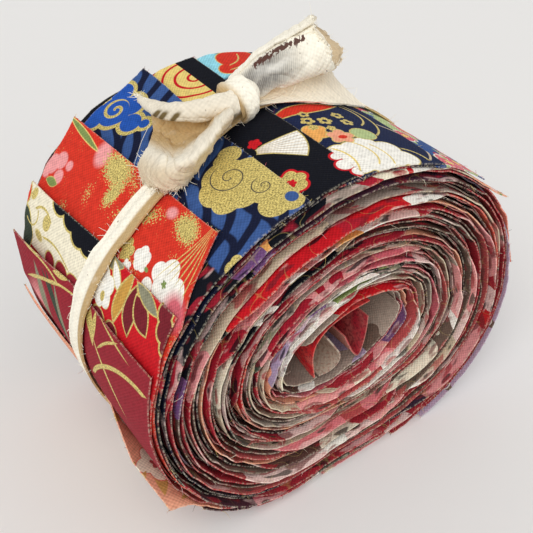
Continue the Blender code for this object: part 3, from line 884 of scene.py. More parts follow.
PRINTS: dict[str, tuple[Ink, tuple[Paint, ...]]] = {
    "wine_reed": (Ink.WINE, (
        Paint(Blob((180.5, 56.5), (7.0, 3.6), 30), Ink.PINK, soft=5.0),
        Paint(Leaf((176, 51.6), (10.5, 1.9), -9), Ink.GREY_GREEN, soft=0.6),
        Paint(Leaf((173.5, 44.2), (9.5, 1.3), -22), Ink.BOTTLE),
        Paint(Leaf((174.5, 42.4), (8.5, 0.9), -12), Ink.GREY_GREEN),
        Paint(Leaf((172.0, 45.8), (8.5, 0.7), -30), Ink.BOTTLE),
        *strokes(G,
            (173.5, 58.5, 168.5, 50.5, 165.2, 42, 0.50), (162.2, 56, 162.4, 49, 165, 42.5, 0.34),
            (165.2, 43, 164.4, 40, 163.8, 36, 0.45),
        ),
        Paint(Leaf((161.7, 41.5), (3.2, 1.0), 78), G),
        *strokes(G,
            (181, 27, 170.3, 17, 166, 1.5, 0.55), (180.5, 14.0, 174.5, 18.6, 169, 24, 0.45),
        ),
        Paint(Leaf((165.5, 26.6), (4.8, 1.3), -23), G),
        Paint(Leaf((164.5, 25.0), (4.0, 0.9), -2), G),
        Paint(Leaf((165.4, 28.0), (4.0, 1.0), -42), G),
        *strokes(G,
            (168.5, 22, 164.5, 18.6, 162, 15, 0.32), (162.4, 11.5, 161.9, 16, 160.9, 20.5, 0.34),
        ),
    )),
    "cream_swirl": (Ink.RED, (
        Paint(Area((145, 164), (31, 66)), Ink.CREAM),
        Paint(Blob((160.6, 62.5), (5.4, 3.6), -12), Ink.BOTTLE, G, 0.18),
        Paint(Blob((151.8, 64.6), (3.2, 2.2)), Ink.VERMILION, G),
        cloud(
            Ink.BLACK, "147.2 44 3.6, 146.6 49.5 3.2, 148.6 39.5 3.8, 148.2 35.5 4.2, 145 54 2.4", G, 0.26,
        ),
        cloud(Ink.WINE, "162.6 49 2.4, 162.4 43 3.0, 162.8 37.5 3.4", G, 0.18),
        Paint(Blob((154.2, 52.6), (2.1, 1.7), 20), G),
        *strokes(G,
            (153.6, 58.6, 151.6, 55, 153.2, 51, 0.34), (157.5, 62, 155.8, 57, 153.4, 57.5, 0.24),
        ),
        Paint(Blob((159.2, 55.4), (1.4, 1.9)), G, soft=0.5),
        *strokes(G, (158.4, 53, 157.2, 47, 159.6, 40, 0.30)),
        Paint(Blob((150.6, 60.8), (1.9, 1.1), 30), G),
        cloud(Ink.MAROON, "163 25 3.4, 162 19 2.6, 162.8 14 1.6", G),
        Paint(Blob((148.2, 29), (4.4, 3.4)), Ink.SAND),
        Paint(Leaf((147.4, 26.2), (4.4, 2.0), 84), Ink.GREY_GREEN, G, 0.12),
        Paint(Leaf((149.6, 22.6), (4.2, 1.2), -58), Ink.WHITE, G, 0.16),
        Paint(Leaf((152.2, 18.4), (6.2, 1.9), 3), Ink.OCHRE, G, 0.26),
        Paint(Flower((154.6, 25.6), 4.7, 5, 12, 0.22), Ink.WHITE, G, 0.08),
        Paint(Blob((156.0, 24.6), (1.2, 0.9)), G),
        Paint(Leaf((152.8, 14.2), (5.4, 2.3), -14), Ink.MAROON, G, 0.24),
        Paint(Leaf((151.4, 10.4), (4.7, 2.4), -58), Ink.MAROON, G, 0.24),
        Paint(Leaf((147.6, 10.6), (5.4, 1.4), -80), Ink.GREY_GREEN, G, 0.14),
        cloud(Ink.MAROON, "149.4 1.8 2.7, 146.4 3.6 2.6, 152.2 -0.2 1.9", G, 0.26),
    )),
    "red_gold": (Ink.VERMILION, (
        Paint(Specks(0.45, 0.16), G),
        cloud(
            Ink.PINK,
            "142 61.6 2.4, 139.8 59.4 2.1, 143.4 57.2 1.7, 139.4 55.8 1.2, 144.6 62.6 1.6",
            soft=0.5,
        ),
        Paint(Leaf((145.7, 58.8), (2.5, 1.1), 78), Ink.GREEN, G, 0.10),
        Paint(Leaf((130.7, 57.2), (8.0, 0.85), -84), Ink.GREEN, Ink.PALE_GOLD, 0.12),
        Paint(Blob((131.4, 48), (2.8, 2.2)), Ink.PINK, soft=1.2),
        Paint(Blob((131.8, 41.8), (3.0, 4.4), 15), G, soft=5.0, grain=0.45),
        Paint(Flower((132.2, 42.4), 2.2, 5, 30), G, soft=0.5, grain=0.4),
        Paint(Blob((136.6, 38.2), (3.2, 1.8)), G, soft=3.0, grain=0.4),
        Paint(Flower((143.6, 24.6), 2.7, 5, 30), G, soft=0.9, grain=0.5),
        Paint(Flower((146.6, 22.4), 1.7, 5), Ink.WHITE),
        cloud(Ink.WHITE, "144.2 9.4 3.3, 140.4 9.4 3.1, 143.0 5.0 3.4, 146.0 14.2 1.7, 141.6 12.4 2.2"),
        Paint(Blob((145.6, 3.4), (3.2, 3.6)), Ink.ROSE, soft=2.4),
        Paint(Flower((142.4, 19), 2.8, 5, 20, 0.18), Ink.WHITE),
        Paint(Blob((143.4, 16.2), (0.5, 0.7)), Ink.GREEN),
        Paint(Flower((142.8, 9.4), 0.9, 5, 0, 0.5), Ink.GREEN),
        Paint(Blob((146.2, 7.4), (0.5, 0.4)), G),
        *strokes(G,
            (139.4, 11.0, 133.6, 8.8, 128.0, 6.4, 0.20), (139.3, 9.4, 133.8, 7.6, 128.0, 5.8, 0.20),
            (139.6, 7.8, 134.0, 6.3, 128.0, 5.2, 0.20), (140.0, 6.0, 134.5, 5.0, 128.0, 4.6, 0.20),
            (140.6, 4.2, 135.5, 3.5, 129.0, 3.8, 0.20), (141.6, 2.3, 136.6, 1.9, 130.6, 2.6, 0.20),
        ),
        Paint(Blob((130.6, 13.4), (2.4, 4.4), 10), G, soft=4.0, grain=0.45),
        Paint(Blob((136.0, 28.0), (5.0, 1.6), 60), G, soft=5.0, grain=0.5),
        Paint(Blob((130.3, 20.6), (1.2, 1.6)), Ink.PINK, soft=0.8),
    )),
    "navy_cloud": (Ink.STEEL, (
        Paint(Waves(5.4, 0.38, -38, 1.5, 21.0), Ink.DEEP, soft=0.30),
        Paint(Waves(8.6, 0.22, -64, 1.8, 15.0), Ink.DEEP, soft=0.30),
        cloud(
            Ink.ROYAL,
            "121 58.6 5.1, 125.8 62.4 3.8, 116.8 56.2 3.5, 120.8 51.6 3.2, 118.6 48.4 1.8, 116 62 3.4",
            G, 0.50,
        ),
        Paint(Curl((120.8, 58.7), 3.4, 2.5, 0.42, 200), G),
        cloud(G, "110.2 24 2.6, 112.6 23 2.4, 115.6 18.6 5.2, 119.6 16.8 4.0, 120 13 3.2, 110.8 16 4.6, "
              "116 12 3.8, 110.8 9.5 4.4, 113.2 4.6 3.2, 108 8 4.2, 109.6 3 2.6, 106 16 2.4"),
        Paint(Curl((115, 18), 4.4, 2.7, 0.13, 30), Ink.DEEP),
        Paint(Curl((111.2, 10.6), 2.7, 2.0, 0.12, 150), Ink.DEEP),
        Paint(Blob((108.8, 3.8), (1.3, 1.5)), Ink.STEEL),
        cloud(G, "130 -0.4 1.6, 128.2 0.2 1.2"),
    )),
    "black_fan": (Ink.BLACK, (
        Paint(Area((97.6, 112), (45, 66)), Ink.PALE_GOLD),
        Paint(Curl((97.6, 54.0), 12.6, 3.1, 0.34, 0), Ink.RED),
        Paint(Area((88, 97.6), (45, 66)), Ink.BLACK),
        Paint(Fan((106.4, 21.2), 12.2, 24, 204), Ink.WHITE, Ink.GOLD, 0.14),
        Paint(Ribs(Fan((106.4, 21.2), 12.2, 24, 204), 8, 0.10), Ink.SAND),
        Paint(Flower((103.4, 23.0), 1.6, 5, 10), Ink.RED),
        Paint(Flower((105.8, 7.4), 3.8, 6, 0, 0.18), G, Ink.RED, 0.30),
        Paint(Flower((105.8, 7.4), 1.2, 6, 30), Ink.RED),
        cloud(Ink.WHITE, "91 8.2 1.5, 91.6 4.8 2.1, 90.6 1.4 1.7", Ink.RED, 0.26),
    )),
    "navy_blossom": (Ink.NAVY, (
        Paint(Area((83.5, 93), (51, 66)), Ink.TURQUOISE, soft=1.2),
        cloud(Ink.VERMILION, "80 58.4 5.2, 85.6 54.2 2.8, 75.4 60.2 4.2, 81.2 52.8 2.2", G, 0.14),
        *strokes(G,
            (86, 53.6, 81, 54.8, 76, 58, 0.20), (84.4, 56, 80, 58, 77, 62, 0.20),
        ),
        Paint(Leaf((81.6, 29.4), (9.6, 2.4), 0), Ink.VERMILION, G, 0.20),
        *strokes(G,
            (71.4, 18.8, 66.6, 24.2, 68.4, 29.5, 0.24), (71.4, 13.6, 65.0, 20, 66.8, 30.5, 0.24),
        ),
        *strokes(Ink.SAND, (65.6, 1.6, 59.6, 11.2, 64.4, 19.6, 0.26)),
        *strokes(G, (70, 7, 66.6, 4.4, 66.4, 1.4, 0.26)),
        cloud(
            Ink.WHITE,
            "88.6 10 2.8, 87 5 4.4, 84 9 3.4, 82.4 3 4.2, "
            "79.4 10 3.2, 77.8 4 4.2, 74.4 7.6 3.0, 73.6 3 3.4", G, 0.14,
        ),
        *strokes(Ink.PALE_GOLD,
            (88.8, 12, 87.4, 7, 89.6, 2, 0.20), (82.6, 12, 80.6, 8, 83.6, 2, 0.20),
            (78.4, 10, 77.4, 6, 79.4, 1, 0.18),
        ),
        Paint(Blob((75.4, 14.6), (3.0, 2.8), 20), Ink.PALE_GREEN, G, 0.12),
        Paint(Flower((88, 18.8), 3.5, 5, 14), Ink.ORANGE, G, 0.14),
        Paint(Flower((82.8, 15), 3.2, 5, 40), Ink.PEACH, G, 0.14),
        Paint(Blob((82.6, 14.6), (1.1, 0.8)), Ink.VERMILION),
        Paint(Flower((85.6, 23.8), 1.7, 5, 0), G), Paint(Blob((85.6, 23.8), (0.6, 0.6)), Ink.NAVY),
        Paint(Flower((84.2, 26.8), 1.4, 5, 30), G), Paint(Blob((84.2, 26.8), (0.5, 0.5)), Ink.NAVY),
        Paint(Flower((81.0, 22.4), 1.8, 5, 50), G), Paint(Blob((81.0, 22.4), (0.6, 0.6)), Ink.NAVY),
        Paint(Flower((74.8, 24.2), 1.6, 5, 10), G), Paint(Blob((74.8, 24.2), (0.5, 0.5)), Ink.NAVY),
        Paint(Flower((74.8, 20.6), 1.6, 5, 40), G), Paint(Blob((74.8, 20.6), (0.5, 0.5)), Ink.NAVY),
        Paint(Flower((86.4, 20.8), 1.2, 5, 20), G),
        Paint(Flower((82.2, 18.9), 1.2, 5, 20), G),
    )),
    "pink_rose": (Ink.STEEL, (
        cloud(Ink.PALE_GREEN, "56 20 6, 50 24 6, 44 30 6, 40 36 5", soft=0.6),
        *strokes(Ink.WHITE, (58, 40, 52, 47, 46, 60, 0.5)),
        cloud(Ink.BLUSH, "54 6 1.6, 48 9 1.8, 43 12 2", Ink.CRIMSON, 0.3),
        *sprigs(
            "55 2.4 4.0, 48 4.6 4.4, 41.5 4 3.8, 56 16 3.2, 48 22 4.4, 56 34 4.0, 45 43 4.6, 54 55 4.4",
            Ink.ROSE, Ink.PALE_GOLD, Ink.PALE_GREEN, Ink.WHITE,
        ),
    )),
    "peach_upper": (Ink.PEACH, (
        *sprigs(
            "36 8 4.4, 28 5 3.8, 31 20 4.6, 38 32 4.0, 25 34 4.2, 33 46 4.8, 25 57 4.0",
            Ink.BLUSH, Ink.CRIMSON, Ink.GREEN, Ink.ROSE,
        ),
        Paint(Blob((21.5, 3), (2.4, 2.4)), Ink.GREEN, soft=1.0),
        Paint(Blob((39, 4), (2.4, 3.4)), Ink.CRIMSON, soft=0.6),
    )),
    "peach_lower": (Ink.CORAL, (
        Paint(Specks(0.5, 0.12), G),
        *sprigs(
            "16 7 4.4, 6 4 4.0, 10 19 4.8, 18 31 4.0, 3 32 4.2, 12 44 5.0, 4 57 4.4",
            Ink.PEACH, Ink.CRIMSON, Ink.OCHRE, Ink.BLUSH,
        ),
    )),
    "lilac_dusk": (Ink.LILAC, (
        *sprigs(
            "350 7 4.6, 338 5 4.2, 326 9 4.8, 314 5 4.4, 345 23 5.0, 330 27 4.6, 314 23 5.0, "
            "352 40 4.6, 336 43 5.0, 320 41 4.8, 345 57 4.8, 328 58 4.6, 311 55 5.0",
            Ink.PURPLE, Ink.PALE_GOLD, Ink.UMBER, Ink.WHITE,
        ),
    )),
    "red_floral": (Ink.CRIMSON, (
        Paint(Specks(0.45, 0.14), G),
        *sprigs(
            "302 6 3.4, 294 13 4.0, 301 27 4.6, 293 38 4.0, 301 50 4.6, 293 60 3.6",
            Ink.BLUSH, Ink.GOLD, Ink.BOTTLE, Ink.GOLD,
        ),
    )),
    "pink_tan": (Ink.ROSE, (
        *sprigs(
            "284 6 3.8, 273 9 4.4, 281 24 5.0, 270 32 4.4, 284 42 4.6, 273 53 4.8",
            Ink.BLUSH, Ink.CRIMSON, Ink.TAUPE, Ink.CRIMSON,
        ),
        Paint(Area((262, 266), (-1, 65)), Ink.SAND, soft=1.2),
    )),
    "rose_floral": (Ink.CRIMSON, (
        *sprigs(
            "256 6 4.0, 246 10 4.6, 254 25 5.0, 243 35 4.4, 257 45 4.8, 246 56 4.6",
            Ink.PINK, Ink.PALE_GOLD, Ink.BOTTLE, Ink.WHITE,
        ),
    )),
    "plum_floral": (Ink.PLUM, (
        Paint(Specks(0.5, 0.12), G),
        *sprigs(
            "234 6 3.8, 225 11 4.4, 232 27 5.0, 222 38 4.4, 234 48 4.6, 224 58 4.2",
            Ink.ROSE, Ink.PALE_GOLD, Ink.GREY_GREEN, Ink.WHITE,
        ),
    )),
    "peach_cream": (Ink.PEACH, (
        *sprigs(
            "214 6 4.4, 205 12 5.0, 197 5 4.2, 212 28 5.2, 200 27 4.6, 206 45 5.4, 196 56 5.0",
            Ink.CREAM, Ink.CRIMSON, Ink.OCHRE, Ink.CORAL,
        ),
    )),
}


class Lead(NamedTuple):
    """A stretch where one strip stands out of the end face, and the colours that its cloth has there."""

    share: float
    from_deg: float
    to_deg: float
    out: float
    # the angle at which each colour starts, with the colour's name
    colours: str

    def inks(self) -> list[tuple[float, Ink]]:
        """Each starting angle with its ink."""
        pairs = (pair.split() for pair in self.colours.split(","))
        return [(float(degrees), Ink[name.upper()]) for degrees, name in pairs]


LEADS = (
    Lead(0.022, 62, 200, 0.8, "55 rose, 66 white, 76 steel, 92 black, 205 plum"),
    Lead(
        0.067, 62, 168, 1.4,
        "58 white, 71 red, 76 cream, 84 crimson, 92 taupe, "
        "101 black, 116 orange, 121 purple, 128 black, 152 crimson, 180 pink",
    ),
    Lead(0.117, 40, 175, 1.2, "35 umber, 60 plum, 117 purple, 129 black, 158 purple, 170 umber"),
    Lead(0.167, 15, 165, 0.8, "5 sand, 40 taupe, 100 sand, 150 pink, 165 crimson"),
    Lead(0.217, 62, 141, 3.5, "50 blush, 58 white, 73 red, 140 black, 151 sand, 163 umber"),
    Lead(
        0.335, 55, 158, 2.6,
        "5 pink, 50 crimson, 66 blush, 79 white, 86 orange, "
        "104 white, 115 pink, 141 crimson, 153 pink, 185 sand",
    ),
    Lead(0.43, 100, 200, 1.0, "20 taupe, 85 umber, 112 sand, 150 cream, 180 sand"),
    Lead(
        0.467, 92, 212, 1.6,
        "30 taupe, 85 sand, 100 black, 128 white, "
        "134 black, 150 taupe, 178 black, 215 umber",
    ),
    Lead(0.533, 60, 185, 1.2, "10 taupe, 48 crimson, 165 wine"),
    Lead(0.567, 20, 200, 1.2, "0 wine, 90 crimson, 150 red, 190 coral"),
    Lead(0.617, 50, 160, 0.9, "0 sand, 90 taupe, 120 grey_green, 158 bottle"),
    Lead(
        0.65, 40, 165, 1.6,
        "0 pink, 60 rose, 85 pink, 98 crimson, "
        "108 pink, 116 crimson, 132 pink, 153 bottle, 180 wine",
    ),
    Lead(0.70, 20, 150, 1.0, "0 blush, 40 rose, 130 crimson, 152 pink, 160 sand"),
    Lead(0.735, 40, 150, 1.0, "30 umber, 55 green, 64 black, 78 white, 88 taupe, 133 crimson, 150 peach"),
    Lead(0.775, 55, 175, 1.6, "50 grey_green, 66 bottle, 80 white, 95 purple, 120 lilac, 165 peach"),
    Lead(0.83, 70, 170, 1.0, "60 white, 76 green, 90 white, 165 black, 190 umber"),
    Lead(0.875, 80, 195, 1.8, "70 taupe, 88 white, 160 cream, 185 sand, 200 peach"),
    Lead(0.935, 20, 140, 1.8, "-20 red, 150 umber"),
    Lead(
        0.05, 238, 300, 0.8,
        "215 white, 222 red, 228 blush, "
        "246 crimson, 252 white, 262 grey_green, 275 taupe",
    ),
    Lead(
        0.10, 205, 312, 1.5,
        "200 crimson, 232 rose, 240 crimson, 250 white, "
        "262 bottle, 270 crimson, 287 blush, 297 crimson, 315 pink",
    ),
    Lead(0.155, 230, 300, 1.2, "225 wine, 240 crimson, 272 rose, 280 crimson, 300 wine"),
    Lead(0.20, 305, 385, 1.6, "305 pink, 339 red, 342 blush, 350 crimson, 356 pink, 380 peach"),
    Lead(0.30, 222, 298, 1.7, "218 blush, 255 white, 266 blush, 285 pink, 300 crimson"),
    Lead(0.385, 225, 300, 1.6, "222 umber, 252 cream, 275 crimson, 290 rose"),
    Lead(0.37, 302, 372, 1.6, "300 white, 312 sand, 330 blush, 345 pink"),
    Lead(0.49, 300, 375, 1.5, "295 cream, 318 umber, 330 white, 342 pink, 370 taupe"),
    Lead(0.50, 232, 298, 1.8, "230 rose, 262 crimson, 282 rose, 300 wine"),
    Lead(0.60, 212, 268, 1.6, "205 crimson, 226 blush, 258 pink, 268 umber"),
    Lead(0.60, 300, 365, 1.4, "298 crimson, 330 wine, 355 crimson"),
    Lead(0.70, 262, 365, 1.4, "258 sand, 279 crimson, 298 pink, 330 rose"),
    Lead(0.745, 262, 350, 1.0, "255 white, 300 sand, 330 taupe"),
    Lead(0.80, 232, 345, 1.5, "228 crimson, 290 white, 343 crimson"),
    Lead(0.865, 240, 350, 1.4, "236 pink, 262 cream, 282 rose, 310 crimson"),
    Lead(0.92, 240, 350, 1.2, "240 sand, 262 crimson, 285 pink, 305 purple"),
    Lead(0.985, 200, 350, 1.0, "200 white, 260 lilac, 300 sand"),
)


# what a strip shows inside before its first lead, where that is not its ground
INNER_GROUNDS = {
    Ink.PEACH: Ink.SAND, Ink.CORAL: Ink.CRIMSON, Ink.STEEL: Ink.DEEP, Ink.NAVY: Ink.BLACK,
}


@dataclass(frozen=True)
class PrintedCotton:
    """A printed strip: its print where it shows, plainer colours inside, weave, back and raw edges."""

    name: str
    ground: Ink
    paints: tuple[Paint, ...]
    # cloth length and colour at which each inner stretch starts
    runs: tuple[tuple[float, Ink], ...]
    inner_from: float
    wall_from: float
    length: float
    back: Ink = Ink.SAND
    thread: float = 0.46
    bump: float = 0.6
    # strength of the gold's speckle: its uneven powder, with painted glints
    grain_and_glints_strength: float = 2.1
    back_share: float = 0.12
    raw_share: float = 0.34
    specular: float = 0.13
    roughness: float = 0.82
    # how metallic the gold is, and how much smoother than the cloth
    gold_metal: float = 0.45
    gold_gloss: float = 0.38
    # strength of the weave's shade and of the slubs', and the tone between them
    shade: Triple = (0.17, 0.50, 0.80)
    # size in mm, shift of the noise, level above which it shows, strength, colour
    blotches: tuple[tuple[float, float, float, float, Ink], ...] = (
        (3.0, 31.0, 0.64, 0.55, Ink.BLUSH), (2.6, 77.0, 0.62, 0.75, Ink.MAROON),
        (2.4, 123.0, 0.65, 0.85, Ink.BLACK), (2.8, 171.0, 0.63, 0.75, Ink.CRIMSON),
    )
    blotch_stretch: float = 3.2
    gold_line: float = 0.28

    def paint_inside(self, canvas: Canvas, u: Field) -> None:
        """The inner stretches: a ramp of the cloth length, then blotches and a wandering gold line."""
        swayed = u + canvas.noise(9.0, 1.0).scaled(16.0, -8.0)
        stops = ((min(max(at / self.length, 0.0), 1.0), colour) for at, colour in self.runs[:RAMP_STOPS])
        first = INNER_GROUNDS.get(self.ground, self.ground)
        inside = (u - self.inner_from).scaled(2.0, 0.5, clamp=True)
        canvas.paint(inside, canvas.steps(swayed * (1 / self.length), first, stops))
        figured = inside * u.scaled(-0.5, 0.5 * self.wall_from, clamp=True)
        for size, shift, level, share, colour in self.blotches:
            spot = canvas.noise(size, 1.0, shift, self.blotch_stretch)
            canvas.paint(spot.scaled(16.0, -16.0 * level, clamp=True) * figured * share, colour)
        line = abs(canvas.noise(6.0, 0.0, 53.0) - 0.5).scaled(-60.0, 1.0, clamp=True)
        canvas.paint(line * figured * self.gold_line, Ink.GOLD)

    def build(self, home_deg: float, to_u: Callable[[float], float]) -> Material:
        """The material: the print, the inside, the pale back, the raw edges, then weave, the gold's
        speckle with painted glints, and gloss.
        """
        material, canvas = new_material(self.name, self.ground, home_deg, to_u)
        for paint in self.paints:
            paint.lay(canvas)
        self.paint_inside(canvas, canvas.axes()[0])
        gap = canvas.vector("DISTANCE", canvas.colour, Ink.GOLD.value).outputs["Value"]
        gold = Field(canvas.tree, gap).scaled(-9.0, 1.0, clamp=True)
        canvas.paint(canvas.attribute("Reverse") * self.back_share, self.back)
        fray = canvas.noise(0.5, 2.0, 11.0).scaled(4.0, -1.6, clamp=True)
        canvas.paint(canvas.attribute("Raw") * fray * self.raw_share, Ink.CREAM)
        weave = canvas.weave(self.thread)
        slub = canvas.noise(1.3, 2.0, 5.0)
        # painted glints: a fine noise brightens and darkens the gold, partly its uneven powder
        grain_and_glints = canvas.noise(0.34, 1.0, 41.0).scaled(self.grain_and_glints_strength, -0.5 * self.grain_and_glints_strength) * gold
        woven, slubbed, tone = self.shade
        shade = weave.scaled(woven, slub.scaled(slubbed, tone)) + grain_and_glints
        canvas.drive("Base Color", canvas.toned(shade))
        canvas.drive("Metallic", gold * self.gold_metal)
        canvas.drive("Roughness", gold.scaled(-self.gold_gloss, self.roughness))
        canvas.drive("Specular IOR Level", self.specular)
        canvas.drive("Normal", canvas.bump(weave.scaled(0.5, slub), WEAVE_HEIGHT, self.bump))
        return material


@dataclass(frozen=True)
class PlainCotton:
    """Undyed or plainly dyed cotton: slubs, small flecks, weave, and tan shade painted into folds and
    hollows.
    """

    name: str
    colour: Ink
    fleck: Ink = Ink.UMBER
    fleck_share: float = 0.14
    thread: float = 0.6
    bump: float = 0.5
    warm_share: float = 0.16
    roughness: float = 0.9
    specular: float = 0.25
    # strength of the weave's shade and of the slubs', and the tone between them
    shade: Triple = (0.06, 0.22, 0.93)
    # attribute, colour and strength of the tints that the pieces carry: a sandier back, which on the tie
    # is also painted shade inside its hollows, painted tan shade, a silver print and olive printed marks
    tints: tuple[tuple[str, Ink, float], ...] = (
        ("Reverse", Ink.SAND, 0.35), ("PaintedShade", Ink.TAN, 0.95),
        ("Grey", Ink.SILVER, 0.85), ("Olive", Ink.OLIVE, 1.3),
    )
    # distance between two dashes of the printed marks, in mm
    stitch: float = 1.7
    # distance between two lines of the silver print, in mm
    hatch: float = 0.52
    # size in mm, stretch along the cloth and height in mm of the fine creases
    crease: Triple = (3.2, 1.3, 0.19)

    def paint_marks(self, canvas: Canvas) -> None:
        """The tie's faint print: fine slanted lines where it is grey with painted highlights over them,
        and dashes where marked.
        """
        u, v = canvas.axes()
        grey, amount = canvas.attribute("Grey"), canvas.attribute("Mark")
        lines = (u + v.scaled(0.45)).scaled(2 * np.pi / self.hatch).math("SINE")
        canvas.paint(lines.scaled(0.8, 0.1, clamp=True) * grey * 0.5, Ink.BLACK)
        # painted highlight: white blotches over the silver print
        painted_highlight = canvas.noise(3.0, 1.0, 97.0, 2.2).scaled(3.2, -1.45, clamp=True)
        canvas.paint(painted_highlight * grey * 0.7, Ink.WHITE)
        slant = u + v.scaled(0.9) + canvas.noise(1.6, 2.0, 61.0).scaled(3.4)
        wave = slant.scaled(2 * np.pi / self.stitch).math("SINE")
        patchy = canvas.noise(1.3, 2.0, 71.0).scaled(7.0, -3.5)
        dash = (wave + patchy + amount.scaled(4.0, -3.4)).scaled(2.4, 0.45, clamp=True)
        canvas.paint((dash * amount).math("MINIMUM", 0.96), Ink.BROWN)

    def build(self) -> Material:
        """The material: warm patches, flecks, the pieces' tints with their painted shade, and marks with
        painted highlights, then weave and creases.
        """
        material, canvas = new_material(self.name, self.colour)
        warm = canvas.noise(5.0, 2.0, 3.0).scaled(3.0, -1.1, clamp=True)
        canvas.paint(warm * self.warm_share, Ink.SAND)
        fleck = canvas.noise(0.8, 0.0, 19.0).scaled(20.0, -20.0 * (1 - self.fleck_share), clamp=True)
        canvas.paint(fleck * 0.55, self.fleck)
        # painted shade: the tan tint and, on the tie, the sandier back stand for shade in folds and
        # hollows
        for key, colour, share in self.tints:
            uneven = canvas.noise(2.2, 2.0, share * 40).scaled(1.2, 0.5, clamp=True)
            canvas.paint(canvas.attribute(key) * uneven * share, colour)
        self.paint_marks(canvas)
        weave = canvas.weave(self.thread)
        slub = canvas.noise(1.1, 2.0, 5.0)
        woven, slubbed, tone = self.shade
        canvas.drive("Base Color", canvas.toned(weave.scaled(woven, slub.scaled(slubbed, tone))))
        canvas.drive("Roughness", self.roughness)
        canvas.drive("Specular IOR Level", self.specular)
        size, stretch, height = self.crease
        ridges = canvas.noise(size, 3.0, 87.0, stretch, "RIDGED_MULTIFRACTAL")
        folds = canvas.bump(ridges, height, 1.0)
        canvas.drive("Normal", canvas.bump(weave.scaled(0.5, slub), WEAVE_HEIGHT, self.bump, folds))
        return material


# ---------------------------------------------------------------- loose threads


THREAD_STATIONS = 7
# shares of a thread's length: the part sunk in the cloth, and the spread of how far it curls aside
THREAD_ROOT = 0.15
THREAD_CURL = 0.7
# share of its radius that a thread loses towards its tip
THREAD_TAPER = 0.6


def thread_paths(roots: Array, ways: Array, lengths: Pair, stray: float, rng: Rng) -> Array:
    """Bent threads: each leaves its root along its way, strays from it and curls aside as it goes.

    Args:
        roots: n by 3 places on a torn edge.
        ways: n by 3 unit directions out of the edge.
        lengths: shortest and longest thread in mm.
        stray: how far a direction may turn, as a share of its length.
        rng: the random numbers.

    Returns:
        Array n by stations by 3.
    """
    count = len(roots)
    heading = unit(ways + rng.normal(0, stray, (count, 3)))
    curl = np.cross(heading, unit(rng.normal(0, 1, (count, 3))))
    length = rng.uniform(0, 1, (count, 1, 1)) ** 2 * (lengths[1] - lengths[0]) + lengths[0]
    share = np.linspace(0, 1, THREAD_STATIONS)[None, :, None]
    bend = rng.normal(0, THREAD_CURL, (count, 1, 1))
    ahead = heading[:, None] * (share - THREAD_ROOT)
    return roots[:, None] + length * (ahead + curl[:, None] * bend * share**2)


def thread_mesh(name: str, paths: Array, radius: float, dyes: Array | None = None) -> Piece:
    """Closed three-sided tubes along paths, thinner towards their tips, as one mesh of triangles.

    Args:
        name: the piece's name.
        paths: threads by stations by 3, in mm.
        radius: radius at the root in mm.
        dyes: one number per thread that its colour is read by.

    Returns:
        The object.
    """
    count, stations = paths.shape[:2]
    heading = unit(np.gradient(paths, axis=1))
    side = unit(np.cross(heading, np.array([0.31, 0.57, 0.76])))
    other = np.cross(heading, side)
    angle = np.radians([0, 120, 240])
    girth = radius * (1 - THREAD_TAPER * np.linspace(0, 1, stations))[None, :, None, None]
    ring = side[:, :, None] * np.cos(angle)[:, None] + other[:, :, None] * np.sin(angle)[:, None]
    points = (paths[:, :, None] + ring * girth).reshape(-1, 3)
    index = np.arange(count * stations * 3).reshape(count, stations, 3)
    low, high = index[:, :-1], index[:, 1:]
    low_next, high_next = np.roll(low, -1, axis=2), np.roll(high, -1, axis=2)
    halves = ((low, low_next, high_next), (low, high_next, high))
    walls = np.concatenate([np.stack(half, -1) for half in halves])
    caps = np.concatenate([index[:, 0, ::-1], index[:, -1]])
    triangles = np.concatenate([walls.reshape(-1, 3), caps])
    along = np.linspace(0, 1, stations)[None, :, None] * np.ones((count, stations, 3))
    uv = np.stack([along.ravel(), np.repeat(np.arange(count) * 0.37, stations * 3)], -1)
    numbers = np.zeros(count) if dyes is None else dyes
    return make_mesh(name, points, triangles, uv, {"Dye": np.repeat(numbers, stations * 3)})


@dataclass(frozen=True)
class DyedThread:
    """Threads of several dyes: each thread's number picks its dye, a fine noise makes it uneven."""

    name: str
    dyes: tuple[Ink, ...]
    roughness: float = 0.85
    specular: float = 0.2

    def build(self) -> Material:
        """The material."""
        material, canvas = new_material(self.name, self.dyes[0])
        stops = ((step / len(self.dyes), colour) for step, colour in enumerate(self.dyes[1:], 1))
        canvas.colour = canvas.steps(canvas.attribute("Dye"), self.dyes[0], stops)
        canvas.paint(canvas.noise(0.3, 1.0).scaled(1.2, -0.4, clamp=True) * 0.35, Ink.UMBER)
        canvas.drive("Base Color", canvas.colour)
        canvas.drive("Roughness", self.roughness)
        canvas.drive("Specular IOR Level", self.specular)
        return material


# ---------------------------------------------------------------- the wound strips


class StripEnd(NamedTuple):
    """One strip's outer end, which the next row's strip covers from that strip's cut edge on."""

    name: str
    edge_deg: float
    far_turn_deg: float
    setback: float
    near_lift: float
    far_lift: float
    # how far the wound part stands out of the near end where no lead moves it
    rest: float


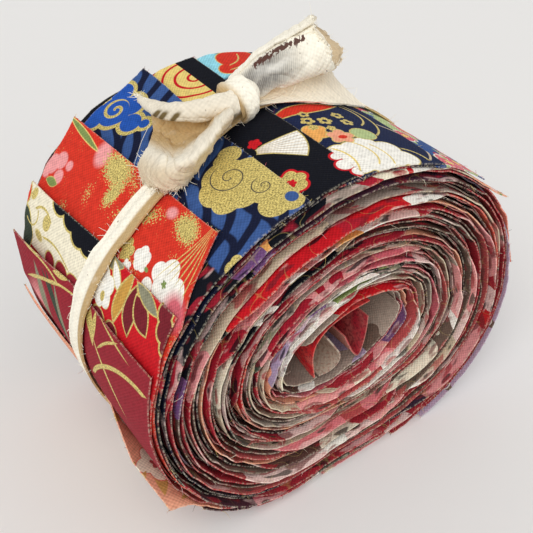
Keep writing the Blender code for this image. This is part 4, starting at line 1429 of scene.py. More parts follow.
STRIP_ENDS = (
    StripEnd("rose_floral", 238.0, 1.0, 0.0, 0.0, 0.0, -0.2),
    StripEnd("pink_tan", 262.7, 1.5, -0.6, 0.0, 0.0, -2.6),
    StripEnd("red_floral", 289.6, -1.5, -0.8, 0.0, 0.0, -0.6),
    StripEnd("lilac_dusk", 304.5, 2.0, -1.2, 0.8, 0.3, -3.2),
    StripEnd("peach_lower", 360.0, 3.0, 2.0, 2.6, 1.0, -0.1),
    StripEnd("peach_upper", 381.0, -3.0, 1.5, 2.8, 1.6, -2.2),
    StripEnd("pink_rose", 401.0, 1.0, 0.4, 0.5, 0.6, -0.5),
    StripEnd("navy_blossom", 419.5, -2.0, -0.4, 0.3, 0.4, -3.4),
    StripEnd("black_fan", 451.0, 0.6, 0.2, 0.2, 0.3, -0.8),
    StripEnd("navy_cloud", 467.0, 0.2, -0.3, 0.3, 2.4, -2.4),
    StripEnd("red_gold", 487.8, 1.4, 7.5, 0.8, 2.6, 0.0),
    StripEnd("cream_swirl", 507.0, 1.6, 1.6, 0.4, 1.2, -3.0),
    StripEnd("wine_reed", 521.0, 1.2, 0.6, 0.6, 2.2, -0.7),
    StripEnd("peach_cream", 552.0, -12.0, -0.8, 4.0, 0.8, -2.0),
    StripEnd("plum_floral", 577.0, 1.0, 0.2, 0.5, 0.4, -3.3),
)


@dataclass
class WoundStrips:
    """All the strips, wound as one staggered stack: each starts on top of the one before it.

    The layer of a strip is the number of cut edges passed since its own, so that at any angle each
    layer belongs to exactly one strip and none cuts through another.
    """

    roll: RollForm
    rows: tuple[StripEnd, ...] = STRIP_ENDS
    turns: int = 4
    leads: tuple[Lead, ...] = LEADS
    thickness: float = 0.30
    step_reach_deg: float = 5.0
    lift_reach_deg: float = 14.0
    turn_heights: tuple[float, ...] = (-1.2, 0.9, -0.6, 0.5, 1.2, 0.0)
    wall_deg: float = 62.0
    # threads of the near and the far end: edge column, the column that they point away from, how many
    end_threads: tuple[tuple[int, int, int], ...] = ((0, 2, 52), (-1, -3, 13))
    edge_threads: int = 44
    # depth in mm and period in degrees of each drift of the wound edges
    edge_drift: tuple[Pair, ...] = ((0.45, 33), (0.16, 13), (0.04, 5))
    lead_ramp_deg: float = 24.0
    dark_back_share: float = 0.30
    outer_step: float = 1.1
    # how far past the next cut edge the stations stay close together, and their most degrees in all
    fine_past_deg: float = 12
    fine_most_deg: float = 75
    core_radius: float = 12
    # length between stations inside: shortest, longest, and its share of the radius
    inner_step: Triple = (1.3, 2.3, 0.10)
    # distance from the near edge of each line along the strip
    columns: tuple[float, ...] = (
        0.0, 0.35, 1.0, 2.2, 4.2, 8.0, 13.0, 18.5, 23.0, 26.5, 29.5, 32.5, 35.5, 38.5, 42.0, 46.5,
        52.0, 57.0, 60.5, 62.4, 63.15, 63.5,
    )
    # grounds whose dye comes through to the back
    dark_grounds: tuple[Ink, ...] = (Ink.CRIMSON, Ink.STEEL, Ink.NAVY, Ink.BLACK, Ink.PLUM)
    fray_dyes: tuple[Ink, ...] = (
        Ink.CREAM, Ink.CRIMSON, Ink.BLUSH, Ink.PALE_GOLD, Ink.BLACK, Ink.CREAM, Ink.ROSE, Ink.GOLD,
    )
    pieces: dict[str, Piece] = field(default_factory=dict)
    fronts: list[Array] = field(default_factory=list)

    @property
    def layers(self) -> int:
        """How many layers lie between the skin and the core."""
        return self.turns * len(self.rows)

    def visible_deg(self, index: int) -> float:
        """Degrees from a strip's cut edge to the next strip's."""
        edges = [row.edge_deg for row in self.rows] + [self.rows[0].edge_deg + 360]
        return edges[index + 1] - edges[index]

    def layer(self, index: int, degrees: Array, side: Array) -> Array:
        """Layer of a strip at an unwound angle: a smooth step down just before every cut edge passed."""
        total = np.zeros(np.broadcast_shapes(degrees.shape, side.shape))
        for after in range(1, self.layers + 1):
            row = self.rows[(index + after) % len(self.rows)]
            edge = row.edge_deg + 360 * ((index + after) // len(self.rows)) + row.far_turn_deg * side
            total = total + smooth((degrees - edge + self.step_reach_deg) / self.step_reach_deg)
        return total

    def share(self, layer: Array, degrees: Array) -> Array:
        """Share of the way to the core: the layer with two slow waves, which bunch some layers up."""
        angle = np.radians(degrees)
        calm = smooth(np.minimum(layer, self.layers - layer) / 4)
        sway = 1.7 * np.sin(angle + 0.7) + 1.2 * np.sin(2 * angle + 2)
        bunch = 0.24 * np.sin(2 * np.pi * layer / 4.3 + sway)
        bunch = bunch + 0.28 * np.sin(2 * np.pi * layer / 13 + 2.0 * np.sin(angle - 1.1))
        return (layer + calm * bunch) / self.layers

    def stations(self, index: int) -> Array:
        """Unwound degrees from the cut edge to the core, closer together where the strip shows."""
        shown = min(self.visible_deg(index) + self.fine_past_deg, self.fine_most_deg)
        outer = np.arange(0, shown, np.degrees(self.outer_step / self.roll.radius))
        outer = np.concatenate([[0, 0.3], outer[1:]])
        rest = np.arange(shown, 360 * self.turns, 1.0)
        wound = rest / (360 * self.turns)
        radius = self.roll.radius + (self.core_radius - self.roll.radius) * wound
        shortest, longest, share = self.inner_step
        steps = np.radians(1.0) * radius / np.clip(radius * share, shortest, longest)
        count = np.concatenate([[0], np.cumsum(steps)[:-1]])
        inner = np.interp(np.linspace(0, count[-1], int(count[-1]) + 1), count, rest)
        return np.concatenate([outer, inner])

    def strip_at(self, degrees: float, share: float) -> tuple[int, float]:
        """The strip at an angle and a share of the way to the core, and its unwound angle there.

        The strip whose cut edge was passed last is layer 0, the one before it layer 1, and so on.
        """
        layer = round(share * self.layers)
        edges = np.array([row.edge_deg for row in self.rows])
        passed = (degrees - edges) % 360
        index = int(np.argsort(passed)[layer % len(self.rows)])
        return index, float(edges[index] + passed[index] + 360 * (layer // len(self.rows)))

    def leads_of(self, index: int) -> list[tuple[Lead, float]]:
        """The leads that fall on a strip, each with what turns its angles into unwound ones."""
        found = []
        for lead in self.leads:
            middle = (lead.from_deg + lead.to_deg) / 2
            strip, unwound = self.strip_at(middle, lead.share)
            if strip == index:
                found.append((lead, unwound - middle))
        return found

    def sideways(self, index: int, degrees: Array, rng: Rng) -> Array:
        """How far a strip stands out of the near end: drifts, and its leads as flat-topped bumps."""
        rest = self.rows[index].rest
        out = rest + sum(depth * drift(degrees, period, rng) for depth, period in self.edge_drift)
        for lead, shift in self.leads_of(index):
            ramp = self.lead_ramp_deg
            rise = smooth((degrees - shift - lead.from_deg + ramp / 2) / ramp)
            fall = smooth((lead.to_deg + ramp / 2 - degrees + shift) / ramp)
            out = out + (lead.out - rest) * rise * fall
        return out

    def build_strip(self, index: int, rng: Rng) -> Piece:
        """One strip from its cut edge to the core.

        Rows follow the unwound angle and columns the width. The first rows take the cut edge's slant
        and its corners' lift, and each row is moved sideways by the strip's own drift plus the height
        of its turn on the end face.
        """
        row = self.rows[index]
        visible = self.visible_deg(index)
        offset = self.stations(index)[:, None]
        v = np.array(self.columns)[None, :]
        side = v / self.roll.width * 2 - 1
        slant = row.far_turn_deg * side * np.clip(1 - offset / visible, 0, 1)
        degrees = row.edge_deg + offset + slant
        layer = self.layer(index, degrees, side)
        share = self.share(layer, degrees)
        sideways = self.sideways(index, row.edge_deg + offset, rng)
        heights = np.interp(1 - share, np.linspace(0, 1, len(self.turn_heights)), self.turn_heights)
        settle = smooth((offset - visible) / 40)
        y = v - self.roll.width / 2 - (sideways + heights) * settle
        y = y + row.setback * np.clip(-side, 0, 1) ** 4 * np.clip(1 - offset / visible, 0, 1)
        ragged = rng.normal(0, 0.06, (len(offset), 2))
        y[:, :1] += ragged[:, :1]
        y[:, -1:] += ragged[:, 1:]
        reach = np.clip(1 - offset / self.lift_reach_deg, 0, 1) ** 2
        clear = np.clip((np.abs(y - self.roll.tie_middle(degrees)) - 8) / 14, 0, 1)
        lift = np.where(side < 0, row.near_lift, row.far_lift) * reach * clear
        front = self.roll.place(degrees, y, -lift, share)
        inward = grid_normals(front) * self.thickness
        points = np.concatenate([front.reshape(-1, 3), (front - inward).reshape(-1, 3)])
        arc = self.arc_length(row.edge_deg, degrees)
        uv = np.stack([arc, np.broadcast_to(v, arc.shape)], -1).reshape(-1, 2)
        count = front.shape[0] * front.shape[1]
        raw = np.zeros(front.shape[:2])
        raw[0], raw[:, 0], raw[:, -1] = 1, 1, 1
        values = {"Reverse": np.repeat([0.0, 1.0], count), "Raw": np.concatenate([raw, raw])}
        quads = sheet_quads(*front.shape[:2])
        shape = make_mesh("wound_" + row.name, points, quads, np.concatenate([uv, uv]), values)
        seat(shape, "strip_" + row.name, "strip_" + row.name, "roll")
        self.fronts.append(front)
        return shape

    def fray(self, rng: Rng) -> Piece:
        """Loose threads out of both wound ends and out of every cut edge."""
        paths = []
        stations = np.linspace(0, 1, len(self.columns))
        for front in self.fronts:
            for edge, inner, count in self.end_threads:
                way = unit(front[:, edge] - front[:, inner])
                chosen = rng.integers(4, len(front), count)
                paths.append(thread_paths(front[chosen, edge], way[chosen], (0.3, 2.0), 0.8, rng))
            at = rng.uniform(0, 1, self.edge_threads)
            root, back = (
                np.stack([np.interp(at, stations, front[row, :, k]) for k in range(3)], -1)
                for row in (0, 4)
            )
            paths.append(thread_paths(root, unit(root - back), (0.25, 1.1), 0.5, rng))
        threads = np.concatenate(paths)
        threads[..., 2] = np.maximum(threads[..., 2], 0.1 - CENTER_HEIGHT)
        shape = thread_mesh("wound_threads", threads, 0.055, rng.uniform(0, 0.999, len(threads)))
        seat(shape, "roll")
        shape.data.materials.append(DyedThread("fray_thread", self.fray_dyes).build())
        LOG.info("wound threads: %d", len(threads))
        return shape

    def arc_length(self, edge_deg: float, degrees: Array) -> Array:
        """Cloth length from the nominal cut edge: the skin's radius summed, shrinking turn by turn."""
        table = np.arange(-40.0, 360 * self.turns + 40, 1.0)
        radius = self.roll.skin_radius(np.radians(edge_deg + table))
        shrink = 1 - 0.75 * np.clip(table / (360 * self.turns), 0, 1)
        length = np.concatenate([[0], np.cumsum(np.radians(1.0) * (radius * shrink)[:-1])])
        length -= np.interp(0, table, length)
        return np.interp(degrees - edge_deg, table, length)

    def dress(self, index: int) -> None:
        """Gives a strip its printed cotton: the print laid out by angle, the leads' colours inside."""
        row = self.rows[index]

        def to_u(degrees: float) -> float:
            """Cloth length at an angle near the strip's cut edge."""
            near = row.edge_deg + (degrees - row.edge_deg + 180) % 360 - 180
            return float(self.arc_length(row.edge_deg, np.array(near)))

        ground, paints = PRINTS[row.name]
        runs = [
            (float(self.arc_length(row.edge_deg, np.array(at + shift))), colour)
            for lead, shift in self.leads_of(index)
            for at, colour in lead.inks()
        ]
        end_deg = row.edge_deg + 360.0 * self.turns
        wall_from = float(self.arc_length(row.edge_deg, np.array(end_deg - self.wall_deg)))
        runs.append((wall_from, Ink.TAUPE))
        dark = ground in self.dark_grounds
        cotton = PrintedCotton(
            name=row.name + "_cotton",
            ground=ground,
            paints=paints,
            runs=tuple(sorted(runs, key=lambda run: run[0])),
            inner_from=to_u(row.edge_deg + self.visible_deg(index) + 5),
            wall_from=wall_from,
            back=Ink.BROWN if dark else Ink.SAND,
            back_share=self.dark_back_share if dark else PrintedCotton.back_share,
            length=float(self.arc_length(row.edge_deg, np.array(end_deg))),
        )
        self.pieces[row.name].data.materials.append(cotton.build(row.edge_deg, to_u))

    def build(self) -> None:
        """All the strips, in the order of their cut edges."""
        rng = np.random.default_rng(SEED)
        for index, row in enumerate(self.rows):
            self.pieces[row.name] = self.build_strip(index, rng)
            self.dress(index)
            LOG.info("strip %s: %d faces", row.name, len(self.pieces[row.name].data.polygons))
        fray = self.fray(rng)


# ---------------------------------------------------------------- the core's tails


class Tail(NamedTuple):
    """A strip's inner end: x and height above the axis, near edge and far edge along Y, in mm."""

    name: str
    colour: Ink
    rows: tuple


TAILS = (
    Tail("core_tail_red", Ink.RED, (
        (4.6, 10.9, -31.6, -14.0), (-1.4, 10.7, -31.8, -14.0), (-7.2, 9.2, -32.0, -14.5),
        (-10.8, 6.2, -32.2, -15.0), (-11.8, 2.4, -32.3, -18.5), (-11.5, -1.2, -32.3, -24.0),
        (-11.0, -4.2, -32.2, -30.6),
    )),
    Tail("core_tail_taupe", Ink.TAUPE, (
        (-8.6, -6.1, -31.0, -20.0), (-5.4, -6.3, -31.0, -20.0), (-3.0, -5.2, -30.9, -20.5),
        (-2.5, -2.8, -30.8, -21.5), (-4.2, 0.6, -30.6, -22.5), (-6.2, 4.0, -30.4, -23.5),
    )),
    Tail("core_tail_pink", Ink.CRIMSON, (
        (5.3, 5.2, -30.8, -24.0), (5.0, 1.6, -31.0, -22.5), (4.2, -2.4, -31.2, -21.0),
        (2.9, -5.5, -31.3, -20.0), (1.2, -3.8, -31.2, -21.0), (-0.2, -0.6, -31.0, -23.0),
        (-1.4, 2.4, -30.8, -25.0),
    )),
)


@dataclass
class CoreTails:
    """The three strip ends that stand in the hollow core."""

    tails: tuple[Tail, ...] = TAILS
    grid: tuple[int, int] = (49, 12)
    thickness: float = 0.40
    fleck_share: float = 0.42
    pieces: dict[str, Piece] = field(default_factory=dict)

    def build(self) -> None:
        """Each tail is a line across the core's section, spread along Y between its two edges."""
        for tail in self.tails:
            x, z, near, far = through(tail.rows, self.grid[0]).T
            share = np.linspace(0, 1, self.grid[1])
            y = near[:, None] + (far - near)[:, None] * share
            middle = np.stack(np.broadcast_arrays(x[:, None], y, z[:, None]), -1)
            uv = flat_lengths(middle)
            shape = cloth_sheet(tail.name + "_cloth", middle, self.thickness, uv)
            seat(shape, tail.name, tail.name)
            area = area_of(middle) * MM * MM
            cotton = PlainCotton(tail.name + "_cotton", tail.colour, Ink.MAROON, self.fleck_share)
            shape.data.materials.append(cotton.build())
            self.pieces[tail.name] = shape
            LOG.info("tail %s", tail.name)


def area_of(middle: Array) -> float:
    """Area of a grid: the summed cross products of each cell's diagonals, halved."""
    first = middle[1:, 1:] - middle[:-1, :-1]
    second = middle[1:, :-1] - middle[:-1, 1:]
    return float(np.linalg.norm(np.cross(first, second), axis=-1).sum() / 2)


# ---------------------------------------------------------------- the tie


class Crumple(NamedTuple):
    """How a piece of the tie is crumpled: its wrinkles, its creases and its torn last rows."""

    wrinkle_depth: float
    periods: Pair
    creases: int
    crease_depth: float
    aim_deg: float = 0.0
    torn_rows: int = 0
    torn_depth: float = 0.0

    def apply(self, grid: Array, rng: Rng) -> Array:
        """The grid with its wrinkles, then its creases, then its torn end."""
        grid = wrinkled(grid, self.wrinkle_depth, self.periods, rng)
        grid = creased(grid, self.creases, self.crease_depth, rng, self.aim_deg)
        return torn_end(grid, self.torn_rows, self.torn_depth, rng) if self.torn_rows else grid


class Oval(NamedTuple):
    """A rolled piece: the stations of its path, its section's arc and spiral, its grid and far end."""

    path: tuple
    # first angle and last angle in degrees, spiral in mm
    turn: Triple
    rows: int
    columns: int
    # how far the side away from the viewer outruns the near side at the end, in mm
    skew: float = 0.0
    # how much more the section spirals outwards at the end than at the start
    flare: float = 0.0

    def spread(self) -> tuple[Array, Array]:
        """Share along the piece down the rows, and degrees round its section across the columns."""
        return np.linspace(0, 1, self.rows)[:, None], np.linspace(*self.turn[:2], self.columns)[None, :]


@dataclass
class Tie:
    """The torn strip: its band round the roll, the wrap of the knot, one rolled loop and two free ends.

    The rolled pieces are rows of x, y, height above the axis, half size across the view and half size
    towards the viewer. Their sections run from one angle to another (0 is the upper side in the view,
    90 the side that faces the viewer) and spiral outwards by a length in mm.
    """

    roll: RollForm
    thickness: float = 0.45
    least_side: float = 0.01
    lift: float = 0.45
    # how much wider the band's near half is where it runs down the roll's left side
    flap: float = 0.50
    # how far the sides of a skewed end are drawn back, as a share of the skew
    rounding: float = 0.55
    # how far the whole skewed end is drawn back, as a share of the skew
    setback: float = 0.25
    # angle in degrees, half the tie's width there
    half_width: tuple = ((0, 3.0), (60, 3.3), (94, 3.4), (125, 2.6), (180, 2.7), (270, 2.7), (360, 3.0))
    band_grid: tuple[int, int] = (340, 23)
    knot_center: Triple = (-5.2, 3.4, 50.6)
    knot_half: Triple = (2.9, 3.5, 3.1)
    knot_grid: tuple[int, int] = (29, 41)
    # under one: the less, the squarer the knot's heart
    knot_power: float = 0.75
    towards_viewer: Triple = (-0.45, -0.63, 0.63)
    loop: Oval = Oval((
        (-6.0, 5.4, 49.4, 3.0, 1.8), (-2.6, 5.2, 51.2, 3.7, 2.4), (0.8, 4.9, 52.8, 4.1, 2.9),
        (4.6, 4.3, 54.0, 4.5, 3.2), (9.2, 3.8, 54.9, 4.8, 3.4), (13.8, 3.6, 55.5, 5.0, 3.7),
        (17.8, 3.7, 55.8, 5.1, 4.3), (20.6, 3.8, 55.9, 4.9, 4.9),
    ), (14, 404, 1.3), 110, 121, 5.2, 1.6)
    loop_crumple: Crumple = Crumple(0.34, (23, 19), 60, 0.52, 0, 8, 0.8)
    wrap: Oval = Oval((
        (-10.0, 2.0, 49.8, 3.5, 2.9), (-9.0, 2.2, 50.1, 4.3, 3.6), (-7.7, 2.3, 50.4, 4.7, 4.0),
        (-6.3, 2.4, 50.7, 4.8, 4.1), (-5.2, 2.5, 50.8, 4.5, 3.8),
    ), (-100, 290, 0.7), 34, 97)
    wrap_crumple: Crumple = Crumple(0.24, (12, 11), 30, 0.46, 90)
    upper: Oval = Oval((
        (-10.0, 0.4, 51.0, 2.5, 1.6), (-13.3, 0.2, 51.5, 2.4, 1.7), (-16.9, 1.4, 51.4, 2.1, 1.6),
        (-19.9, 4.2, 50.7, 1.9, 1.5), (-21.7, 9.6, 49.1, 1.7, 1.3), (-22.1, 15.5, 47.9, 1.2, 1.0),
        (-21.8, 21.3, 47.3, 0.35, 0.3),
    ), (-80, 205, 0.0), 90, 49)
    upper_crumple: Crumple = Crumple(0.36, (21, 12), 40, 0.42, 0, 5, 0.5)
    # share of the upper free end's length at which each printed mark lies
    upper_marks: tuple[float, ...] = (0.545, 0.635, 0.69)
    # places, as `triples` reads them: from the back of the hollow down to its floor, up to the lip and
    # over it to the torn end
    cup: tuple[str, ...] = (
        "-23.0 13.2 47.4, -21.5 9.8 48.5, -20.3 6.3 49.4, -18.5 3.5 50.4, "
        "-16.4 2.0 50.9, -14.2 1.1 51.3, -10.3 2.1 51.3",
        "-23.6 12.1 43.8, -22.2 9.2 43.6, -20.6 5.7 43.8, -18.8 3.2 44.6, "
        "-17.2 0.9 46.6, -14.8 0.1 49.4, -11.0 0.7 51.2",
        "-28.1 5.8 44.5, -27.7 0.9 45.4, -26.7 -3.3 46.4, -24.6 -5.6 48.3, "
        "-21.1 -5.4 50.3, -17.1 -3.9 51.7, -12.5 -2.1 52.0",
        "-30.2 3.2 45.1, -30.4 -3.2 46.8, -29.4 -7.8 48.1, -26.8 -10.4 49.6, "
        "-21.7 -9.1 51.1, -17.3 -6.4 52.3, -13.0 -3.6 51.9",
        "-32.4 2.8 42.7, -32.6 -3.9 44.4, -31.1 -8.2 45.4, -27.9 -9.6 46.4, "
        "-22.0 -7.9 48.3, -17.2 -6.6 50.7, -13.4 -4.1 50.8",
        "-32.8 1.2 40.0, -32.2 -3.4 40.5, -31.1 -6.9 41.2, -29.0 -8.6 42.1, "
        "-24.0 -7.4 44.7, -18.2 -5.3 47.8, -13.6 -3.9 49.4",
    )
    cup_grid: tuple[int, int] = (96, 112)
    # row from which the lower free end's side is a torn edge
    lip_from: int = 54
    cup_crumple: Crumple = Crumple(0.34, (20, 24), 60, 0.48, 20, 7, 1.1)
    # the slack under the loop, from the loop's underside down to the band
    gusset: tuple[str, ...] = (
        "-2.4 2.2 50.2, 1.6 1.5 50.8, 7.6 2.2 50.6, 14.1 4.1 49.9, 20.3 6.3 48.8",
        "-2.4 2.3 48.7, 2.1 1.3 48.8, 8.4 1.3 48.0, 14.4 1.6 47.4, 21.5 4.5 45.6",
        "-3.1 1.2 48.0, 2.5 0.0 47.5, 9.1 -1.6 46.4, 16.0 -3.2 44.4, 25.1 -2.1 40.2",
    )
    gusset_grid: tuple[int, int] = (40, 80)
    gusset_crumple: Crumple = Crumple(0.26, (14, 17), 22, 0.34, 60)
    edge_threads: int = 210
    # loose long threads: places that each passes
    long_threads: tuple[str, ...] = (
        "-5.3 1.1 49.2, -2.6 0.5 49.4, 0.2 -1.2 49.5, 2.5 -2.2 49.9, 3.7 -2.3 50.8, 5.3 -1.3 51.6",
        "-25.6 9.4 47.1, -27.2 8.3 46.4, -29.7 6.3 45.4, -31.7 4.6 43.9, -32.9 4.1 42.0, -33.5 3.9 39.8",
    )
    pieces: dict[str, Piece] = field(default_factory=dict)
    # torn edges, each with the way out of the cloth
    torn: list[tuple[Array, Array]] = field(default_factory=list)

    def keep(
        self,
        name: str,
        middle: Array,
        tints: dict[str, Array],
    ) -> None:
        uv = flat_lengths(middle)
        shape = cloth_sheet(name, middle, self.thickness, uv, tints)
        seat(shape, "tie", "tie")
        area = area_of(middle) * MM * MM
        self.pieces[name] = shape

    def band(self, rng: Rng) -> tuple[Array, Array]:
        """The band: at each angle a short line across the tie, laid on the groove and creased along it.

        Returns:
            The grid, and how strongly its folded near edge is painted tan as shade at each point.
        """
        start = np.degrees(np.arctan2(self.knot_center[2], self.knot_center[0]))
        degrees = (start + np.linspace(1.5, 358.5, self.band_grid[0]))[:, None]
        stations, widths = np.array(self.half_width, float).T
        half = np.interp(degrees % 360, stations, widths)
        share = np.linspace(-1, 1, self.band_grid[1])[None, :]
        wider = smooth((degrees % 360 - 112) / 16) * smooth((236 - degrees % 360) / 24)
        half = half * (1 + self.flap * wider * np.clip(-share, 0, 1))
        sway = drift(degrees.ravel(), 14, rng)[:, None]
        edge = 0.35 * drift(degrees.ravel(), 5, rng)[:, None] * np.abs(share) ** 3
        crease = 0.26 * np.sin(2 * np.pi * (0.9 * share + 0.25 * sway)) * (1 - share**2)
        crease = crease + 0.35 * np.clip(-share - 0.55, 0, 1)
        y = self.roll.tie_middle(degrees) + half * share + edge * np.sign(share)
        place = self.roll.place(degrees, y, -self.lift - self.thickness / 2 - crease, np.zeros(1))
        # painted shade: tan along the near edge, where the band folds under
        return place, smooth((-share - 0.36 + 0.16 * sway) / 0.25)

    def rolled(self, oval: Oval) -> Array:
        """Grid of points: an arc of an oval that spirals outwards, carried along the stations' line.

        Args:
            oval: the piece's path, section and grid.

        Returns:
            Array rows by columns by 3.
        """
        rows = through(oval.path, oval.rows)
        line = rows[:, :3]
        heading = unit(np.gradient(line, axis=0))
        viewer = np.array(self.towards_viewer)
        out = unit(viewer - heading * (heading @ viewer)[:, None])
        across = np.cross(out, heading)
        across *= np.sign(across[:, 2:])
        first, last, spiral = oval.turn
        along, degrees = oval.spread()
        grow = spiral * smooth((degrees - first - 150) / (last - first - 150))
        grow = grow * (1 + oval.flare * (along**2 - 0.4))
        angle = np.radians(degrees)
        wide = (rows[:, 3, None] + grow) * np.cos(angle)
        deep = (rows[:, 4, None] + grow) * np.sin(angle)
        sides = np.sin(angle) + self.rounding * (1 + np.cos(2 * angle)) / 2 + self.setback
        push = -oval.skew * along**4 * sides
        pairs = ((across, wide), (out, deep), (heading, push))
        return line[:, None] + sum(way[:, None] * size[..., None] for way, size in pairs)

    def above_skin(self, grid: Array) -> Array:
        """A grid with every point moved straight out from the axis until it clears the roll's skin."""
        angle = np.arctan2(grid[..., 2], grid[..., 0])
        least = self.roll.skin_radius(angle) + self.lift + self.thickness / 2
        grow = np.maximum(least / np.hypot(grid[..., 0], grid[..., 2]), 1)
        return grid * np.stack([grow, np.ones_like(grow), grow], -1)

    def loop_tints(self) -> dict[str, Array]:
        """The loop's dashed marks below its upper edge, its silver print and the tan shade painted inside
        its mouth.
        """
        along, degrees = self.loop.spread()
        seam = 1.15 * np.exp(-(((degrees - 58) / 18) ** 2)) * smooth((along - 0.20) / 0.06)
        # painted shade: tan inside the mouth, round the far side of the section towards the end
        mouth = 0.7 * smooth((degrees - 172) / 20) * smooth((352 - degrees) / 14)
        return {
            "Mark": seam * smooth((0.74 - along) / 0.08),
            "Grey": np.exp(-(((degrees - 100) / 52) ** 4)) * smooth((0.66 - along) / 0.34),
            "PaintedShade": mouth * smooth((along - 0.60) / 0.12),
        }

    def upper_tints(self) -> dict[str, Array]:
        """The upper free end's slanted printed marks: flat-topped bumps in both directions."""
        along, degrees = self.upper.spread()
        around = (degrees - 142) / 38
        ends = (((along - at - 0.04 * around) / 0.022) ** 4 for at in self.upper_marks)
        return {"Olive": sum(np.exp(-end - around**4) for end in ends)}

    def build(self) -> None:
        """Builds the band, the loop, the wrap, the two free ends, the slack cloth and the threads."""
        rng = np.random.default_rng(SEED + 1)
        band, band_shade = self.band(rng)
        loop = self.loop_crumple.apply(self.rolled(self.loop), rng)
        wrap = self.wrap_crumple.apply(self.rolled(self.wrap), rng)
        upper = self.above_skin(self.upper_crumple.apply(self.rolled(self.upper), rng))
        cup = self.above_skin(self.cup_crumple.apply(patch(self.cup, *self.cup_grid), rng))
        gusset = self.gusset_crumple.apply(patch(self.gusset, *self.gusset_grid), rng)
        cup_sides, gusset_sides, band_sides = (grid.transpose(1, 0, 2) for grid in (cup, gusset, band))
        for grid, edge, inner in (
            (loop, -1, -4), (upper, -1, -5), (cup, -1, -5), (cup_sides[:, self.lip_from:], 0, 3),
            (gusset_sides[:, ::-1], -1, -4), (band_sides, 0, 2), (band_sides, -1, -3),
        ):
            self.torn.append((grid[edge], unit(grid[edge] - grid[inner])))
        self.pieces["tie_threads"] = self.threads(rng)
        self.keep("tie_band_cloth", band, {"PaintedShade": band_shade})
        self.keep("tie_loop_cloth", loop, self.loop_tints())
        # painted shade: tan over the first half of the wrap's rows, where it curls under
        self.keep("tie_wrap_cloth", wrap, {"PaintedShade": smooth((0.5 - self.wrap.spread()[0]) / 0.36)})
        self.keep("tie_upper_tail_cloth", upper, self.upper_tints())
        # painted shade: tan over the hollow's rows, and a weaker tan towards the torn end
        down = np.linspace(0, 1, cup.shape[0])[:, None]
        hollow = smooth((0.50 - down) / 0.22) + 0.46 * smooth((down - 0.60) / 0.2)
        self.keep("tie_lower_tail_cloth", cup, {"PaintedShade": np.clip(hollow, 0, 1)})
        # painted shade under the loop: tan on the slack cloth, fading from its first row and column
        slack = np.linspace(1, 0, gusset.shape[0])[:, None] * np.linspace(1, 0, gusset.shape[1])[None, :]
        self.keep("tie_slack_cloth", gusset, {"PaintedShade": slack})
        self.pieces["tie_knot_cloth"] = self.knot()
        cotton = PlainCotton("tie_cotton", Ink.COTTON).build()
        for name, piece in self.pieces.items():
            piece.data.materials.append(cotton)
            LOG.info("tie piece %s", name)

    def threads(self, rng: Rng) -> Piece:
        """The loose threads: short ones out of every torn edge, and the two long ones."""
        paths = [through(triples(path), 9) for path in self.long_threads]
        for edge, way in self.torn:
            chosen = rng.integers(0, len(edge), min(len(edge), self.edge_threads))
            paths.extend(thread_paths(edge[chosen], way[chosen], (0.5, 2.7), 0.8, rng))
        shape = thread_mesh("tie_threads", np.array([through(path, 9) for path in paths]), 0.075)
        seat(shape, "tie")
        return shape

    def knot(self) -> Piece:
        """The knot's heart: a squared ellipsoid, its first and last rows drawn to a point."""
        rise = np.linspace(-np.pi / 2, np.pi / 2, self.knot_grid[0])[:, None]
        turn = np.linspace(0, 2 * np.pi, self.knot_grid[1])[None, :]

        def square(value: Array) -> Array:
            """The value with its size raised to a power under one."""
            return np.sign(value) * np.abs(value) ** self.knot_power

        flat, high = square(np.cos(rise)), square(np.sin(rise))
        around = (flat * square(np.cos(turn)), flat * square(np.sin(turn)), high * np.ones_like(turn))
        ball = np.stack(around, -1)
        ball = ball * self.knot_half + self.knot_center
        rows, cols = ball.shape[:2]
        uv = flat_lengths(ball).reshape(-1, 2)
        shape = make_mesh("tie_knot_cloth", ball.reshape(-1, 3), grid_quads(rows, cols), uv)
        seat(shape, "tie", "tie")
        return shape


# ---------------------------------------------------------------- stage


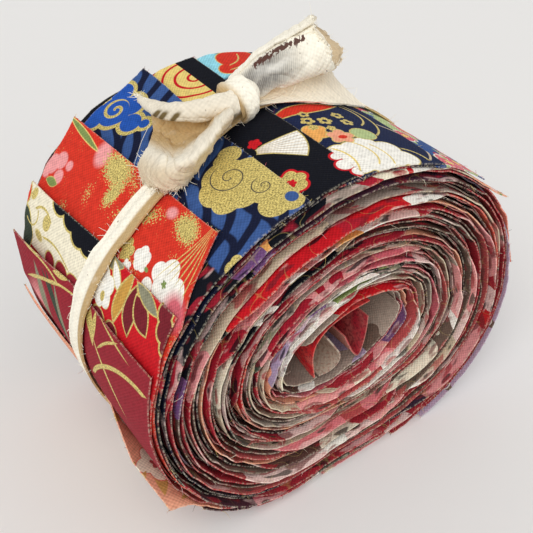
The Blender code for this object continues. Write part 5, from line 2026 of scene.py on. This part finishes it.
@dataclass(frozen=True)
class Studio:
    """A pale floor, soft light and the camera at the photograph's viewing angle."""

    camera_place: Triple = (-0.10089, -0.13884, 0.18457)
    right: Triple = (0.81790, -0.57536, 0.0)
    up: Triple = (0.36425, 0.51780, 0.77408)
    lens: float = 58.93
    floor_half: float = 4.0
    floor_colour: Colour = (0.828, 0.819, 0.806)
    sky_colour: Colour = (1.0, 0.99, 0.975)
    sky_strength: float = 0.55
    # name, turn in degrees, strength, spread in degrees
    lamps: tuple = (("key", (38, -18, -32), 1.30, 40), ("fill", (62, 0, 40), 0.68, 90))

    def build(self) -> None:
        """Floor, lights, sky and camera."""
        scene = bpy.context.scene
        scene.view_settings.view_transform = "Standard"
        half = self.floor_half
        corners = [(-half, -half, 0), (half, -half, 0), (half, half, 0), (-half, half, 0)]
        mesh = bpy.data.meshes.new("floor")
        mesh.from_pydata(corners, [], [(0, 1, 2, 3)])
        floor = bpy.data.objects.new("floor", mesh)
        material = bpy.data.materials.new("floor_paper")
        material.use_nodes = True
        shader = material.node_tree.nodes["Principled BSDF"]
        shader.inputs["Base Color"].default_value = (*self.floor_colour, 1)
        shader.inputs["Roughness"].default_value = 0.9
        mesh.materials.append(material)
        scene.collection.objects.link(floor)
        world = bpy.data.worlds.new("sky")
        world.use_nodes = True
        sky = world.node_tree.nodes["Background"].inputs
        sky["Color"].default_value = (*self.sky_colour, 1)
        sky["Strength"].default_value = self.sky_strength
        scene.world = world
        for name, turn, energy, spread in self.lamps:
            light = bpy.data.lights.new(name, "SUN")
            light.energy = energy
            light.angle = np.radians(spread)
            lamp = bpy.data.objects.new(name, light)
            lamp.rotation_euler = np.radians(turn)
            scene.collection.objects.link(lamp)
        lens = bpy.data.cameras.new("camera")
        lens.lens = self.lens
        lens.sensor_width = 36
        lens.clip_start = 0.01
        camera = bpy.data.objects.new("camera", lens)
        matrix = np.eye(4)
        matrix[:3, :3] = np.transpose([self.right, self.up, np.cross(self.right, self.up)])
        matrix[:3, 3] = self.camera_place
        camera.matrix_world = Matrix(matrix.tolist())
        scene.collection.objects.link(camera)
        scene.camera = camera


def main() -> None:
    """Loads the frame and builds the studio, then builds and dresses every piece."""
    logging.basicConfig(level=logging.INFO, format="%(message)s")
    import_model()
    Studio().build()
    roll = RollForm()
    for part in (WoundStrips(roll), CoreTails(), Tie(roll)):
        part.build()


if __name__ == "__main__":
    main()
